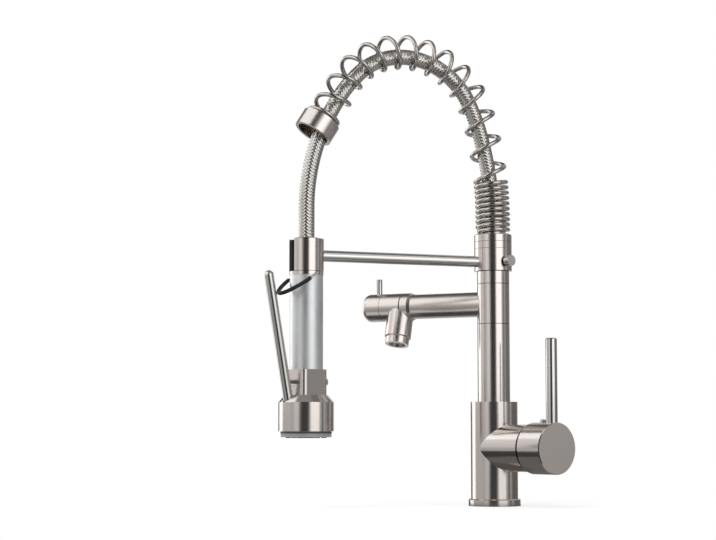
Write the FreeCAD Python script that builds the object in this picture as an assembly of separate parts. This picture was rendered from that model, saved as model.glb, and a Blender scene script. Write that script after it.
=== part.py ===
import FreeCAD
import Part

import math
import os

from FreeCAD import Vector

# Spring-arch kitchen faucet with a pull-down sprayer and a swivelling pot-filler spout.
# Millimetres, +Z up. The origin is the centre of the base on the deck.
# +X is the handle side and -Y faces the user.

# Clearances
FIT = 0.05            # radial gap of a fixed fit
RUN = 0.08            # radial gap of a running fit
FACE = 0.1            # gap between faces that turn on each other
AIR = 0.4             # gap between pieces that move past each other

# Base and body
FLANGE_R = 25.75
FLANGE_H = 7.0
FLANGE_EDGE = 0.8
GASKET_R = 23.0
GASKET_W = 4.0
GASKET_T = 1.5
SHANK_R = 15.0
SHANK_TOP_R = 14.0
SHANK_BORE = 12.2
SHANK_DROP = 50.0
SHANK_GRIP = 20.0
BODY_R = 23.3
BODY_H = 95.5
INLET_R = 4.5
INLET_DEPTH = 12.0
INLET_SPREAD = 7.5
PORT_R = 3.0
OUTLET_R = 6.0
RISER_GRIP = 10.5
SPIGOT_H = 6.0

# Cartridge and mixer handle, along the handle axis
HANDLE_Z = 57.0
POCKET_FLOOR = 18.0
CARTRIDGE_R = 17.4
CARTRIDGE_WALL = 2.9
CARTRIDGE_BASE = 4.0
PORT_OFFSET = 7.5
PORT_SEAL_W = 1.4
PORT_SEAL_T = 1.2
DISC_T = 4.0
MOVING_DISC_R = 9.0
CARRIER_T = 3.0
TURRET_L = 14.0
TURRET_GAP = 1.0
PIVOT_DEPTH = 11.0
PIVOT_PIN_R = 1.5
PIVOT_PIN_INSET = 1.0
STEM_R = 4.5
STEM_NOSE_R = 2.0
STEM_SOCKET = 11.0
NOSE_ROOM = 1.2
SLOT_HALF = 9.6
NUT_L = 5.0
NUT_BORE = 13.0
HOUSING_LIP = 1.0
CAP_SEAM = 2.5
CAP_R = 25.0
CAP_STEP = 2.0
CAP_WALL = 1.0
CAP_CAVITY = 9.5
CAP_L = 31.5
CAP_BEVEL = 1.6
LEVER_R = 5.6
LEVER_INSET = 7.1
LEVER_TOP = 106.0
LEVER_SEAT = 12.0
LEVER_EDGE = 1.0
SET_SCREW_R = 2.5
SET_SCREW_INSET = 3.0
SET_SCREW_L = 8.0
PLUG_R = 3.0
PLUG_PROUD = 3.0
PLUG_ROUND = 1.5

# Column and inner riser
COLUMN_R = 16.1
COLUMN_WALL = 2.1
LOWER_TUBE_H = 77.2
GLIDE_T = 0.5
GLIDE_INSET = 0.6
HUB_H = 39.4
UPPER_TUBE_H = 11.9
RISER_R = 11.0
RISER_BORE = 9.0
RISER_ABOVE_COLLAR = 3.0
BEARING_H = 8.0
CLIP_T = 1.2
CLIP_R = 13.0
CLIP_GROOVE = 0.6

# Pot-filler spout, along the spout axis from the column axis
SPOUT_ANGLE = 203.0
SPOUT_R = 12.5
SPOUT_BORE = 10.5
SPOUT_L = 96.0
SPOUT_GRIP = 8.0
VALVE_R = 14.25
VALVE_L = 26.3
VALVE_EDGE = 1.5
VALVE_GROOVE_UP = 2.6
VALVE_GROOVE = 1.4
HUB_WATER_W = 12.0
HUB_WATER_D = 2.0
SEAL_R = 0.75
SEAL_OFFSET = 12.0
STOPPER_R = 8.0
STOPPER_BORE = 5.0
KNOB_L = 20.1
KNOB_ROUND = 6.0
KNOB_GRIP = 8.0
KNOB_PIN_R = 3.2
KNOB_PIN_INSET = 5.9
KNOB_PIN_TOP = 29.5
KNOB_PIN_SEAT = 5.0
NOZZLE_UP = 7.1
NOZZLE_TILT = 15.0
NOZZLE_R = 13.4
NOZZLE_END = 33.0
NOZZLE_EDGE = 0.8
AERATOR_R = 12.0
AERATOR_BODY_R = 10.5
AERATOR_GRIP = 8.0
AERATOR_PROUD = 7.0
AERATOR_BORE = 8.5
SCREEN_T = 1.0
SCREEN_INSET = 2.0
SCREEN_HOLE_R = 0.8

# Dock arm
ARM_ANGLE = 252.4
COLLAR_R = 18.75
COLLAR_H = 22.2
ARM_RISE = 9.2
ROD_R = 5.5
ROD_GRIP = 5.0
DOCK_REACH = 198.0
DOCK_R = 16.75
DOCK_WALL = 2.8
DOCK_H = 31.0
DOCK_DROP = 15.5
DOCK_SLOT = 14.5
LINER_WALL = 1.4
LOCK_R = 2.5
LOCK_HEAD_R = 5.5
LOCK_HEAD_L = 6.0
LOCK_NECK = 2.0
RING_H = 7.3
SEAT_H = 7.7
SEAT_EDGE = 1.2
RING_EDGE = 0.5
SEAT_SPIGOT = 14.0
CHAMBER_R = 13.6

# Spring arch: close turns on the seat, then open turns over the arch
WIRE_R = 2.15
COIL_R = 15.3
CLOSE_TURNS = 10
CLOSE_PITCH = 5.2
OPEN_TURNS = 13
END_TURNS = 1
END_PITCH = 5.0
PITCH_EASE = 0.11         # how much wider the open turns start than they end
PITCH_SWELL = 0.24        # how much wider they are at both ends than over the top
SPRING_REST = 0.35
ARCH_STRAIGHT = 16.5
ARCH_START_R = 347.0
ARCH_START_DEG = 17.2
ARCH_RISE_R = 83.5
ARCH_FALL_DEG = 57.5
ARCH_TAIL = 62.0
FERRULE_R = 19.3
FERRULE_L = 17.0
FERRULE_WALL = 3.3
FERRULE_RECESS = 10.0
FERRULE_SOCKET = 2.5
FERRULE_BACK = 6.0
COIL_PHASE = 0.0

# Hose inside the spring and down to the sprayer
HOSE_R = 7.7
HOSE_BORE = 4.5
HOSE_OFFSET = 4.9
HOSE_LEAN_DEG = 22.0
HOSE_FALL_DEG = 48.0
HOSE_SPLIT_DEG = 71.0
HOSE_GAP = 0.3
CRIMP_WALL = 1.9
CRIMP_L = 14.0
FITTING_SPIGOT = 12.0
FITTING_BORE = 4.0

# Sprayer, about its own upright axis
NECK_TOP = 32.0
NECK_BELOW_DOCK = 10.5
OUTLET_FITTING_L = 26.0
OUTLET_SOCKET = 19.0
NECK_RING_R = 16.4
NECK_RING_H = 3.4
GRIP_R = 16.0
GRIP_WALL = 3.8
GRIP_L = 90.4
WATER_TUBE_R = 6.5
WATER_TUBE_BORE = 5.0
TUBE_GRIP = 6.0
BLOCK_W = 30.5
BLOCK_H = 24.4
BLOCK_ROUND = 5.0
BLOCK_SPIGOT = 6.0
BLOCK_PORT_R = 4.0
VALVE_AXIS_UP = 12.6
CHAMBER_BORE = 5.0
CHAMBER_DEPTH = 21.0
GLAND_L = 6.0
PLUNGER_R = 2.0
PLUNGER_HEAD_R = 4.2
PLUNGER_HEAD_T = 3.0
VALVE_WIRE_R = 0.35
VALVE_COIL_R = 3.4
VALVE_TURNS = 4
HEAD_R = 26.6
HEAD_TOP_R = 20.8
HEAD_H = 34.4
HEAD_SHOULDER = 6.9
HEAD_WALL = 2.0
HEAD_ROOF = 12.0
FACE_R = 24.2
FACE_PROUD = 5.6
FACE_INSERT = 7.0
FACE_T = 3.0
JET_R = 1.1
JET_PROUD = 0.8
JET_FIRST = 6.5
JET_STEP = 6.0
JET_RING_COUNT = 3
FIRST_JETS = 6
SCREW_R = 3.5
SCREW_PROUD = 2.0
SCREW_SIDE = 8.5
SCREW_SHANK_R = 1.6
SCREW_SHANK_L = 6.0

# Trigger and its hanging bail
TRIGGER_R = 4.65
TRIGGER_FOOT_R = 21.1
TRIGGER_FOOT_DROP = 5.5
TRIGGER_LEAN = 11.2
TRIGGER_L = 120.5
TRIGGER_PIN_R = 1.2
BAIL_WIRE_R = 0.9
BAIL_SLEEVE_R = 1.9
BAIL_L = 36.7
BAIL_HANG = 33.4
BAIL_BARE_DEG = 16.0
BAIL_PIN_L = 3.4

Z_AXIS = Vector(0, 0, 1)
Y_AXIS = Vector(0, 1, 0)
QUARTER = 90.0
TURN = 360.0
STRAIGHT = 1e-5          # below this a path counts as straight


def save(name, shape):
    """Write one named piece, as a compound when it is several solids."""
    shape.exportStep("parts/%s.step" % name)


def tube(radius, low, high, bore=0.0):
    """Upright cylinder about Z between two heights, with an optional bore."""
    solid = Part.makeCylinder(radius, high - low, Vector(0, 0, low))
    if bore:
        solid = solid.cut(Part.makeCylinder(bore, high - low, Vector(0, 0, low)))
    return solid


def rod(radius, start, end):
    """Cylinder from one point to another."""
    return Part.makeCylinder(radius, (end - start).Length, start, end - start)


def lathe(profile):
    """Solid of revolution about Z from (radius, height) corners."""
    corners = [Vector(radius, 0, height) for radius, height in profile]
    return Part.Face(Part.makePolygon(corners + corners[:1])).revolve(Vector(), Z_AXIS, TURN)


def aim(shape, start, direction):
    """Carry a shape built up the Z axis to a start point and a direction."""
    moved = shape.copy()
    moved.Placement = FreeCAD.Placement(start, FreeCAD.Rotation(Z_AXIS, direction))
    return moved


def swing(shape, degrees):
    """Turn a shape about the column axis."""
    turned = shape.copy()
    turned.rotate(Vector(), Z_AXIS, degrees)
    return turned


def shift(shape, x, y, z):
    """Move a copy of a shape."""
    moved = shape.copy()
    moved.translate(Vector(x, y, z))
    return moved


def ring_seal(radius, height):
    """O-ring about Z."""
    return Part.makeTorus(radius, SEAL_R, Vector(0, 0, height))


def arc_between(start, end, tangent):
    """Arc from start to end that leaves start along a unit tangent."""
    chord = end - start
    along = Vector(chord).normalize()
    side = tangent - along * tangent.dot(along)
    if side.Length < STRAIGHT:
        return Part.LineSegment(start, end).toShape()
    bulge = chord.Length / 2 * math.tan(tangent.getAngle(along) / 2)
    middle = (start + end) * 0.5 + side.normalize() * bulge
    return Part.Arc(start, middle, end).toShape()


def biarc(first, first_way, last, last_way):
    """Two arcs that join two points along two unit tangents."""
    span = last - first
    both = first_way + last_way
    spread = 2 * (1 - first_way.dot(last_way))
    lean = span.dot(both)
    if spread < STRAIGHT ** 2:
        reach = span.dot(span) / (2 * lean)
    else:
        reach = (math.sqrt(lean ** 2 + spread * span.dot(span)) - lean) / spread
    joint = (first + last + (first_way - last_way) * reach) * 0.5
    back = arc_between(last, joint, last_way * -1)
    return [arc_between(first, joint, first_way), back.reversed()]


def smooth_path(point_at, stops):
    """Wire of biarcs through a curve's points, with tangents taken from the curve."""
    nudge = 1e-4

    def way(stop):
        return Vector(point_at(stop + nudge) - point_at(stop - nudge)).normalize()

    edges = []
    for begin, end in zip(stops, stops[1:]):
        edges += biarc(point_at(begin), way(begin), point_at(end), way(end))
    return Part.Wire(Part.__sortEdges__(edges))


def sweep(path, radius):
    """Round solid along a wire."""
    edge = path.OrderedEdges[0]
    at_start = path.OrderedVertexes[0].Point
    first = edge.FirstParameter
    if (edge.valueAt(first) - at_start).Length > (edge.valueAt(edge.LastParameter) - at_start).Length:
        first = edge.LastParameter
    section = Part.Wire([Part.Circle(at_start, edge.tangentAt(first), radius).toShape()])
    shell = Part.BRepOffsetAPI.MakePipeShell(path)
    shell.add(section)
    shell.build()
    shell.makeSolid()
    return shell.shape()


def least_gap(points, skip, thickness):
    """Least clear gap between stretches of one wire that are at least skip points apart."""
    gaps = [
        (points[i] - points[j]).Length
        for i in range(len(points))
        for j in range(i + skip, len(points))
    ]
    return min(gaps) - thickness


# Heights up the column
shank_top = FLANGE_H + SHANK_GRIP
body_top = FLANGE_H + BODY_H
lower_tube_top = body_top + LOWER_TUBE_H
hub_low = lower_tube_top + GLIDE_T + FACE
hub_high = hub_low + HUB_H
spout_z = (hub_low + hub_high) / 2
upper_tube_low = hub_high + FACE + GLIDE_T
upper_tube_top = upper_tube_low + UPPER_TUBE_H
collar_low = upper_tube_top + GLIDE_T + FACE
collar_high = collar_low + COLLAR_H
ring_high = collar_high + RING_H
seat_high = ring_high + SEAT_H
riser_low = body_top - RISER_GRIP
riser_high = collar_high + RISER_ABOVE_COLLAR
arm_z = collar_low + ARM_RISE
valve_end = SPOUT_L + VALVE_L
groove_low = SPOUT_L + VALVE_GROOVE_UP
nozzle_at = SPOUT_L + NOZZLE_UP

# Places along the handle axis
cartridge_disc = POCKET_FLOOR + CARTRIDGE_BASE
moving_disc = cartridge_disc + DISC_T
carrier = moving_disc + DISC_T
turret_low = carrier + CARRIER_T + TURRET_GAP
turret_high = turret_low + TURRET_L
pivot_x = turret_low + PIVOT_DEPTH
nut_high = turret_high + NUT_L
housing_end = nut_high + HOUSING_LIP
housing_r = CAP_R - CAP_STEP
cap_rim = housing_end + CAP_SEAM
cap_floor = cap_rim + CAP_CAVITY
cap_end = cap_rim + CAP_L
stem_end = cap_floor + STEM_SOCKET
lever_x = cap_end - LEVER_INSET
screw_x = cap_floor + SET_SCREW_INSET
pocket_r = CARTRIDGE_R + FIT
cartridge_bore = CARTRIDGE_R - CARTRIDGE_WALL

# Heights down the sprayer
dock_low = arm_z - DOCK_DROP
dock_high = dock_low + DOCK_H
neck_ring_high = dock_low - AIR
grip_high = neck_ring_high - NECK_RING_H
grip_low = grip_high - GRIP_L
block_low = grip_low - BLOCK_H
head_low = block_low - HEAD_H
valve_z = block_low + VALVE_AXIS_UP
neck_r = DOCK_R - DOCK_WALL - FIT - LINER_WALL - AIR
neck_low = dock_low - NECK_BELOW_DOCK
neck_high = dock_low + NECK_TOP
grip_bore = GRIP_R - GRIP_WALL
bail_z = grip_high + NECK_RING_H / 2
bail_half = GRIP_R + BAIL_SLEEVE_R + AIR


def on_handle(along, across=0.0, up=0.0):
    """Point given along, across and above the handle axis."""
    return Vector(along, across, HANDLE_Z + up)


def handle_tube(radius, low, high, bore=0.0):
    """Cylinder about the handle axis between two distances, with an optional bore."""
    return aim(tube(radius, low, high, bore), on_handle(0), Vector(1, 0, 0))


def cartridge_ports():
    """Centres of the two inlet ports and the outlet port, across and above the handle axis."""
    return [(-INLET_SPREAD, -PORT_OFFSET), (INLET_SPREAD, -PORT_OFFSET), (0.0, PORT_OFFSET)]


def make_base():
    """Flange, gasket and threaded shank."""
    flange = lathe([
        (SHANK_TOP_R + FIT, 0), (FLANGE_R, 0), (FLANGE_R, FLANGE_H - FLANGE_EDGE),
        (FLANGE_R - FLANGE_EDGE, FLANGE_H), (SHANK_TOP_R + FIT, FLANGE_H),
    ])
    groove = tube(GASKET_R + FIT, 0, GASKET_T, GASKET_R - GASKET_W - FIT)
    save("base_flange", flange.cut(groove))
    save("base_gasket", tube(GASKET_R, 0, GASKET_T, GASKET_R - GASKET_W))
    save("mounting_shank", lathe([
        (SHANK_BORE, -SHANK_DROP), (SHANK_R, -SHANK_DROP), (SHANK_R, 0),
        (SHANK_TOP_R, 0), (SHANK_TOP_R, shank_top), (SHANK_BORE, shank_top),
    ]))


def make_body():
    """Cast body with its side housing, inlets and water ways."""
    body = tube(BODY_R, FLANGE_H, body_top).fuse(handle_tube(housing_r, 0, housing_end))
    body = body.fuse(tube(COLUMN_R - COLUMN_WALL - FIT, body_top, body_top + SPIGOT_H)).removeSplitter()
    body = body.cut(tube(SHANK_TOP_R + FIT, FLANGE_H, shank_top))
    body = body.cut(handle_tube(pocket_r, POCKET_FLOOR, housing_end))
    body = body.cut(tube(RISER_R + FIT, riser_low, body_top + SPIGOT_H))
    body = body.cut(tube(OUTLET_R, HANDLE_Z + PORT_OFFSET, riser_low))
    for across, up in cartridge_ports():
        body = body.cut(rod(PORT_R, on_handle(0, across, up), on_handle(POCKET_FLOOR, across, up)))
    for side in (-INLET_SPREAD, INLET_SPREAD):
        inlet = Vector(0, side, shank_top)
        body = body.cut(rod(INLET_R, inlet, inlet + Vector(0, 0, INLET_DEPTH)))
        body = body.cut(rod(PORT_R, inlet, on_handle(0, side, -PORT_OFFSET)))
    save("body_shell", body)


def make_cartridge():
    """Ceramic cartridge in the side housing, its retaining nut and the tilting stem."""
    shell = handle_tube(CARTRIDGE_R, POCKET_FLOOR, turret_high)
    shell = shell.cut(handle_tube(cartridge_bore, cartridge_disc, turret_high))
    fixed = handle_tube(cartridge_bore - FIT, cartridge_disc, moving_disc)
    seals = []
    for across, up in cartridge_ports():
        low = on_handle(POCKET_FLOOR, across, up)
        shell = shell.cut(rod(PORT_R, low, on_handle(cartridge_disc, across, up)))
        disc_low = on_handle(cartridge_disc, across, up)
        fixed = fixed.cut(rod(PORT_R, disc_low, on_handle(moving_disc, across, up)))
        deep = on_handle(POCKET_FLOOR + PORT_SEAL_T, across, up)
        seal = rod(PORT_R + PORT_SEAL_W, low, deep).cut(rod(PORT_R, low, deep))
        shell = shell.cut(rod(PORT_R + PORT_SEAL_W + FIT, low, deep))
        seals.append(seal)
    save("cartridge_body", shell)
    save("cartridge_port_seals", Part.makeCompound(seals))
    save("cartridge_fixed_disc", fixed)
    moving = handle_tube(MOVING_DISC_R, moving_disc, carrier + CARRIER_T)
    socket = handle_tube(STEM_NOSE_R + NOSE_ROOM, carrier, carrier + CARRIER_T)
    save("cartridge_moving_disc", moving.cut(socket))
    save("cartridge_nut", handle_tube(pocket_r - FIT, turret_high, nut_high, NUT_BORE))

    slot_side = STEM_R + RUN
    slot = Part.makeBox(
        TURRET_L, 2 * slot_side, 2 * SLOT_HALF, on_handle(turret_low, -slot_side, -SLOT_HALF)
    )
    turret = handle_tube(cartridge_bore - RUN, turret_low, turret_high).cut(slot)
    pin_half = cartridge_bore - PIVOT_PIN_INSET
    turret = turret.cut(rod(PIVOT_PIN_R + FIT, on_handle(pivot_x, -pin_half), on_handle(pivot_x, pin_half)))
    save("cartridge_turret", turret)
    save("stem_pivot_pin", rod(PIVOT_PIN_R, on_handle(pivot_x, -pin_half), on_handle(pivot_x, pin_half)))

    stem = handle_tube(STEM_R, turret_low, stem_end)
    stem = stem.fuse(handle_tube(STEM_NOSE_R, carrier + TURRET_GAP, turret_low)).removeSplitter()
    stem = stem.cut(rod(PIVOT_PIN_R + RUN, on_handle(pivot_x, -STEM_R), on_handle(pivot_x, STEM_R)))
    save("cartridge_stem", stem)


def make_handle():
    """Cap over the stem with its pin lever, set screw and plug."""
    cap = aim(lathe([
        (0, cap_rim), (CAP_R - CAP_BEVEL, cap_rim), (CAP_R, cap_rim + CAP_BEVEL),
        (CAP_R, cap_end - CAP_BEVEL / 2), (CAP_R - CAP_BEVEL / 2, cap_end), (0, cap_end),
    ]), on_handle(0), Vector(1, 0, 0))
    mouth = CAP_R - CAP_WALL - CAP_BEVEL / 2
    cap = cap.cut(handle_tube(mouth, cap_rim, cap_floor))
    cap = cap.cut(handle_tube(STEM_R + FIT, cap_floor, stem_end))
    lever_low = on_handle(lever_x, 0, CAP_R - LEVER_SEAT)
    cap = cap.cut(rod(LEVER_R + FIT, lever_low, on_handle(lever_x, 0, CAP_R)))
    screw_low = on_handle(screw_x, 0, STEM_R + FIT)
    screw_high = on_handle(screw_x, 0, STEM_R + FIT + SET_SCREW_L)
    cap = cap.cut(rod(SET_SCREW_R + FIT, on_handle(screw_x), screw_high))
    cap = cap.cut(rod(PLUG_R + FIT, screw_high, on_handle(screw_x, 0, CAP_R)))
    save("handle_cap", cap)
    length = LEVER_TOP - CAP_R + LEVER_SEAT
    lever = lathe([
        (0, 0), (LEVER_R, 0), (LEVER_R, length - LEVER_EDGE), (LEVER_R - LEVER_EDGE, length), (0, length),
    ])
    save("handle_lever", aim(lever, lever_low, Z_AXIS))
    save("handle_set_screw", rod(SET_SCREW_R, screw_low, screw_high))
    plug = rod(PLUG_R, screw_high, on_handle(screw_x, 0, CAP_R + PLUG_PROUD))
    save("handle_plug", plug.makeFillet(PLUG_ROUND, [max(plug.Edges, key=lambda edge: edge.BoundBox.ZMin)]))


def make_column():
    """Fixed column tubes, the riser that carries them and the glide rings."""
    inner = COLUMN_R - COLUMN_WALL
    bearing_low = lower_tube_top - BEARING_H
    save("column_lower_tube", lathe([
        (inner, body_top), (COLUMN_R, body_top), (COLUMN_R, lower_tube_top), (RISER_R + FIT, lower_tube_top),
        (RISER_R + FIT, bearing_low), (inner, bearing_low),
    ]))
    save("column_upper_tube", tube(COLUMN_R, upper_tube_low, upper_tube_top, RISER_R + FIT))
    rings = [
        tube(COLUMN_R - GLIDE_INSET, low, low + GLIDE_T, RISER_R + FIT)
        for low in (lower_tube_top, hub_high + FACE, upper_tube_top)
    ]
    save("column_glide_rings", Part.makeCompound(rings))
    clip_low = collar_high + FACE
    riser = tube(RISER_R, riser_low, riser_high, RISER_BORE)
    riser = riser.cut(tube(RISER_R, clip_low, clip_low + CLIP_T, RISER_R - CLIP_GROOVE))
    for angle in (0, QUARTER):
        way = Vector(math.cos(math.radians(angle)), math.sin(math.radians(angle)), 0) * RISER_R
        middle = Vector(0, 0, spout_z)
        riser = riser.cut(rod(PORT_R, middle - way, middle + way))
    save("riser_tube", riser)
    clip = tube(CLIP_R, clip_low, clip_low + CLIP_T, RISER_R - CLIP_GROOVE + FIT)
    gap = Part.makeBox(CLIP_R, RISER_R, CLIP_T, Vector(0, -RISER_R / 2, clip_low))
    save("riser_retaining_clip", clip.cut(gap))


def place_spout(shape):
    """Carry a shape from the spout's own axes to the column."""
    return swing(shift(shape, 0, 0, spout_z), SPOUT_ANGLE)


def spout_tube(radius, low, high, bore=0.0):
    """Cylinder about the spout axis between two distances from the column axis."""
    return aim(tube(radius, low, high, bore), Vector(), Vector(1, 0, 0))


def make_spout():
    """Swivelling hub, tube, end valve body, nozzle and aerator."""
    hub = tube(COLUMN_R, hub_low, hub_high, RISER_R + RUN)
    water = RISER_R + RUN + HUB_WATER_D
    hub = hub.cut(tube(water, spout_z - HUB_WATER_W / 2, spout_z + HUB_WATER_W / 2))
    seal_at = RISER_R + RUN + SEAL_R + FIT
    seals = []
    for level in (spout_z - SEAL_OFFSET, spout_z + SEAL_OFFSET):
        room = SEAL_R + FIT
        hub = hub.cut(tube(seal_at + room, level - room, level + room))
        seals.append(ring_seal(seal_at, level))
    hub = hub.cut(place_spout(spout_tube(PORT_R * 2, 0, COLUMN_R)))
    save("spout_hub", hub)
    save("spout_hub_seals", Part.makeCompound(seals))

    pipe = spout_tube(SPOUT_R, 0, SPOUT_L, SPOUT_BORE)
    pipe = pipe.cut(tube(COLUMN_R + FIT, -HUB_H, HUB_H))
    save("spout_tube", place_spout(pipe))

    body_low = SPOUT_L - SPOUT_GRIP
    body = aim(lathe([
        (0, body_low), (VALVE_R - VALVE_EDGE, body_low), (VALVE_R, body_low + 2 * VALVE_EDGE),
        (VALVE_R, valve_end), (0, valve_end),
    ]), Vector(), Vector(1, 0, 0))
    groove_high = groove_low + VALVE_GROOVE
    body = body.cut(spout_tube(VALVE_R, groove_low, groove_high, VALVE_R - VALVE_GROOVE))
    body = body.cut(spout_tube(SPOUT_R + FIT, body_low, SPOUT_L))
    body = body.cut(spout_tube(STOPPER_R + RUN, SPOUT_L, valve_end))
    tilt = math.radians(NOZZLE_TILT)
    down = Vector(0, math.sin(tilt), -math.cos(tilt))
    middle = Vector(nozzle_at, 0, 0)
    body = body.cut(rod(BLOCK_PORT_R, middle, middle + down * VALVE_R))
    save("spout_valve_body", place_spout(body))

    nozzle = lathe([
        (0, 0), (NOZZLE_R, 0), (NOZZLE_R, NOZZLE_END - NOZZLE_EDGE), (NOZZLE_R - NOZZLE_EDGE, NOZZLE_END),
        (0, NOZZLE_END),
    ])
    aerator_low = NOZZLE_END - AERATOR_GRIP
    aerator_high = NOZZLE_END + AERATOR_PROUD
    nozzle = nozzle.cut(tube(AERATOR_BODY_R + FIT, aerator_low, NOZZLE_END))
    nozzle = nozzle.cut(tube(BLOCK_PORT_R, 0, aerator_low))
    nozzle = aim(nozzle, middle, down).cut(spout_tube(VALVE_R + FIT, 0, valve_end))
    save("spout_nozzle", place_spout(nozzle))
    aerator = lathe([
        (AERATOR_BORE, aerator_low), (AERATOR_BODY_R, aerator_low), (AERATOR_BODY_R, NOZZLE_END),
        (AERATOR_R, NOZZLE_END), (AERATOR_R, aerator_high), (AERATOR_BORE, aerator_high),
    ])
    save("spout_aerator", place_spout(aim(aerator, middle, down)))
    screen = tube(AERATOR_BORE - FIT, aerator_high - SCREEN_INSET - SCREEN_T, aerator_high - SCREEN_INSET)
    for ring, count in ((AERATOR_BORE / 3, 6), (2 * AERATOR_BORE / 3, 12)):
        for index in range(count):
            angle = 2 * math.pi * index / count
            hole = tube(SCREEN_HOLE_R, aerator_high - SCREEN_INSET - SCREEN_T, aerator_high - SCREEN_INSET)
            screen = screen.cut(shift(hole, ring * math.cos(angle), ring * math.sin(angle), 0))
    save("aerator_screen", place_spout(aim(screen, middle, down)))


def make_spout_knob():
    """End knob with its pin lever and the stopper that it turns."""
    knob_low = valve_end + AIR
    knob_high = knob_low + KNOB_L
    knob = spout_tube(VALVE_R, knob_low, knob_high)
    rim = [edge for edge in knob.Edges if abs(edge.CenterOfMass.x - knob_high) < FIT]
    knob = knob.makeFillet(KNOB_ROUND, rim[:1])
    stopper_high = knob_low + KNOB_GRIP
    knob = knob.cut(spout_tube(STOPPER_R + FIT, knob_low, stopper_high))
    pin_x = knob_low + KNOB_PIN_INSET
    pin_low = Vector(pin_x, 0, VALVE_R - KNOB_PIN_SEAT)
    pin = rod(KNOB_PIN_R, pin_low, Vector(pin_x, 0, KNOB_PIN_TOP))
    knob = knob.cut(rod(KNOB_PIN_R + FIT, pin_low, Vector(pin_x, 0, VALVE_R)))
    save("spout_knob", place_spout(knob))
    save("spout_knob_pin", place_spout(pin))
    stopper = spout_tube(STOPPER_R, SPOUT_L + AIR, stopper_high)
    stopper = stopper.cut(spout_tube(STOPPER_BORE, SPOUT_L, nozzle_at + STOPPER_BORE))
    side = Vector(nozzle_at, STOPPER_R, 0)
    stopper = stopper.cut(rod(PORT_R, Vector(nozzle_at, 0, 0), side))
    save("spout_valve_stopper", place_spout(stopper))


def in_arm(shape):
    """Carry a shape from the dock arm's own axes to its place round the column."""
    return swing(shape, ARM_ANGLE)


def make_arm():
    """Collar, rod, dock clip and liner, lock screw and the rings under the spring."""
    rod_low = COLLAR_R - ROD_GRIP
    socket = rod(ROD_R + FIT, Vector(rod_low, 0, arm_z), Vector(COLLAR_R, 0, arm_z))
    collar = in_arm(tube(COLLAR_R, collar_low, collar_high, RISER_R + RUN).cut(socket))
    lock_way = Vector(1, 0, 0)
    lock_tip = Vector(RISER_R + AIR, 0, arm_z)
    lock_hole = rod(LOCK_R + RUN, Vector(0, 0, arm_z), lock_way * COLLAR_R + Vector(0, 0, arm_z))
    save("arm_collar", collar.cut(lock_hole))
    neck_out = COLLAR_R + LOCK_NECK - lock_tip.x
    lock = lathe([
        (0, 0), (LOCK_R, 0), (LOCK_R, neck_out), (LOCK_HEAD_R, neck_out),
        (LOCK_HEAD_R, neck_out + LOCK_HEAD_L), (0, neck_out + LOCK_HEAD_L),
    ])
    save("arm_lock_screw", aim(lock, lock_tip, lock_way))

    outer = shift(tube(DOCK_R + FIT, dock_low, dock_high), DOCK_REACH, 0, 0)
    arm = rod(ROD_R, Vector(rod_low, 0, arm_z), Vector(DOCK_REACH - DOCK_WALL, 0, arm_z)).cut(outer)
    save("arm_rod", in_arm(arm))
    slot = Part.makeBox(DOCK_R, DOCK_SLOT, DOCK_H, Vector(0, -DOCK_SLOT / 2, dock_low))
    liner_r = DOCK_R - DOCK_WALL - FIT
    clip = tube(DOCK_R, dock_low, dock_high, DOCK_R - DOCK_WALL).cut(slot)
    liner = tube(liner_r, dock_low, dock_high, liner_r - LINER_WALL).cut(slot)
    save("dock_clip", in_arm(shift(clip, DOCK_REACH, 0, 0)))
    save("dock_liner", in_arm(shift(liner, DOCK_REACH, 0, 0)))

    save("collar_ring", lathe([
        (CHAMBER_R, collar_high), (COLLAR_R - RING_EDGE, collar_high), (COLLAR_R, collar_high + RING_EDGE),
        (COLLAR_R, ring_high - RING_EDGE), (COLLAR_R - RING_EDGE, ring_high), (CHAMBER_R, ring_high),
    ]))
    crimp_r = HOSE_R + FIT + CRIMP_WALL
    spigot_r = COIL_R - WIRE_R - AIR
    save("spring_seat", lathe([
        (crimp_r + FIT, ring_high), (COLLAR_R, ring_high), (COLLAR_R, seat_high - SEAT_EDGE),
        (COLLAR_R - SEAT_EDGE, seat_high), (spigot_r, seat_high),
        (spigot_r, seat_high + SEAT_SPIGOT), (crimp_r + FIT, seat_high + SEAT_SPIGOT),
    ]))
    save("hose_inlet_fitting", lathe([
        (FITTING_BORE, riser_high - FITTING_SPIGOT), (RISER_BORE - RUN, riser_high - FITTING_SPIGOT),
        (RISER_BORE - RUN, riser_high + AIR), (CHAMBER_R - AIR, riser_high + AIR),
        (CHAMBER_R - AIR, ring_high), (crimp_r, ring_high), (crimp_r, ring_high + CRIMP_L),
        (HOSE_R + FIT, ring_high + CRIMP_L), (HOSE_R + FIT, ring_high), (FITTING_BORE, ring_high),
    ]))


class Route:
    """Path in the arm's upright plane made of straight runs and tangent bends."""

    def __init__(self, reach, height, heading):
        self.at = Vector(reach, 0, height)
        self.heading = heading
        self.edges = []

    def way(self, heading):
        """Unit vector of a heading in degrees from straight up, turning outward."""
        angle = math.radians(heading)
        return Vector(math.sin(angle), 0, math.cos(angle))

    def run(self, length):
        """Go straight on."""
        end = self.at + self.way(self.heading) * length
        self.edges.append(Part.LineSegment(self.at, end).toShape())
        self.at = end
        return self

    def bend(self, radius, degrees):
        """Turn outward and down on an arc."""
        centre = self.at + self.way(self.heading + QUARTER) * radius
        middle = centre - self.way(self.heading + degrees / 2 + QUARTER) * radius
        end = centre - self.way(self.heading + degrees + QUARTER) * radius
        self.edges.append(Part.Arc(self.at, middle, end).toShape())
        self.at = end
        self.heading += degrees
        return self

    def wire(self):
        """The path as one wire."""
        return Part.Wire(self.edges)


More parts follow.
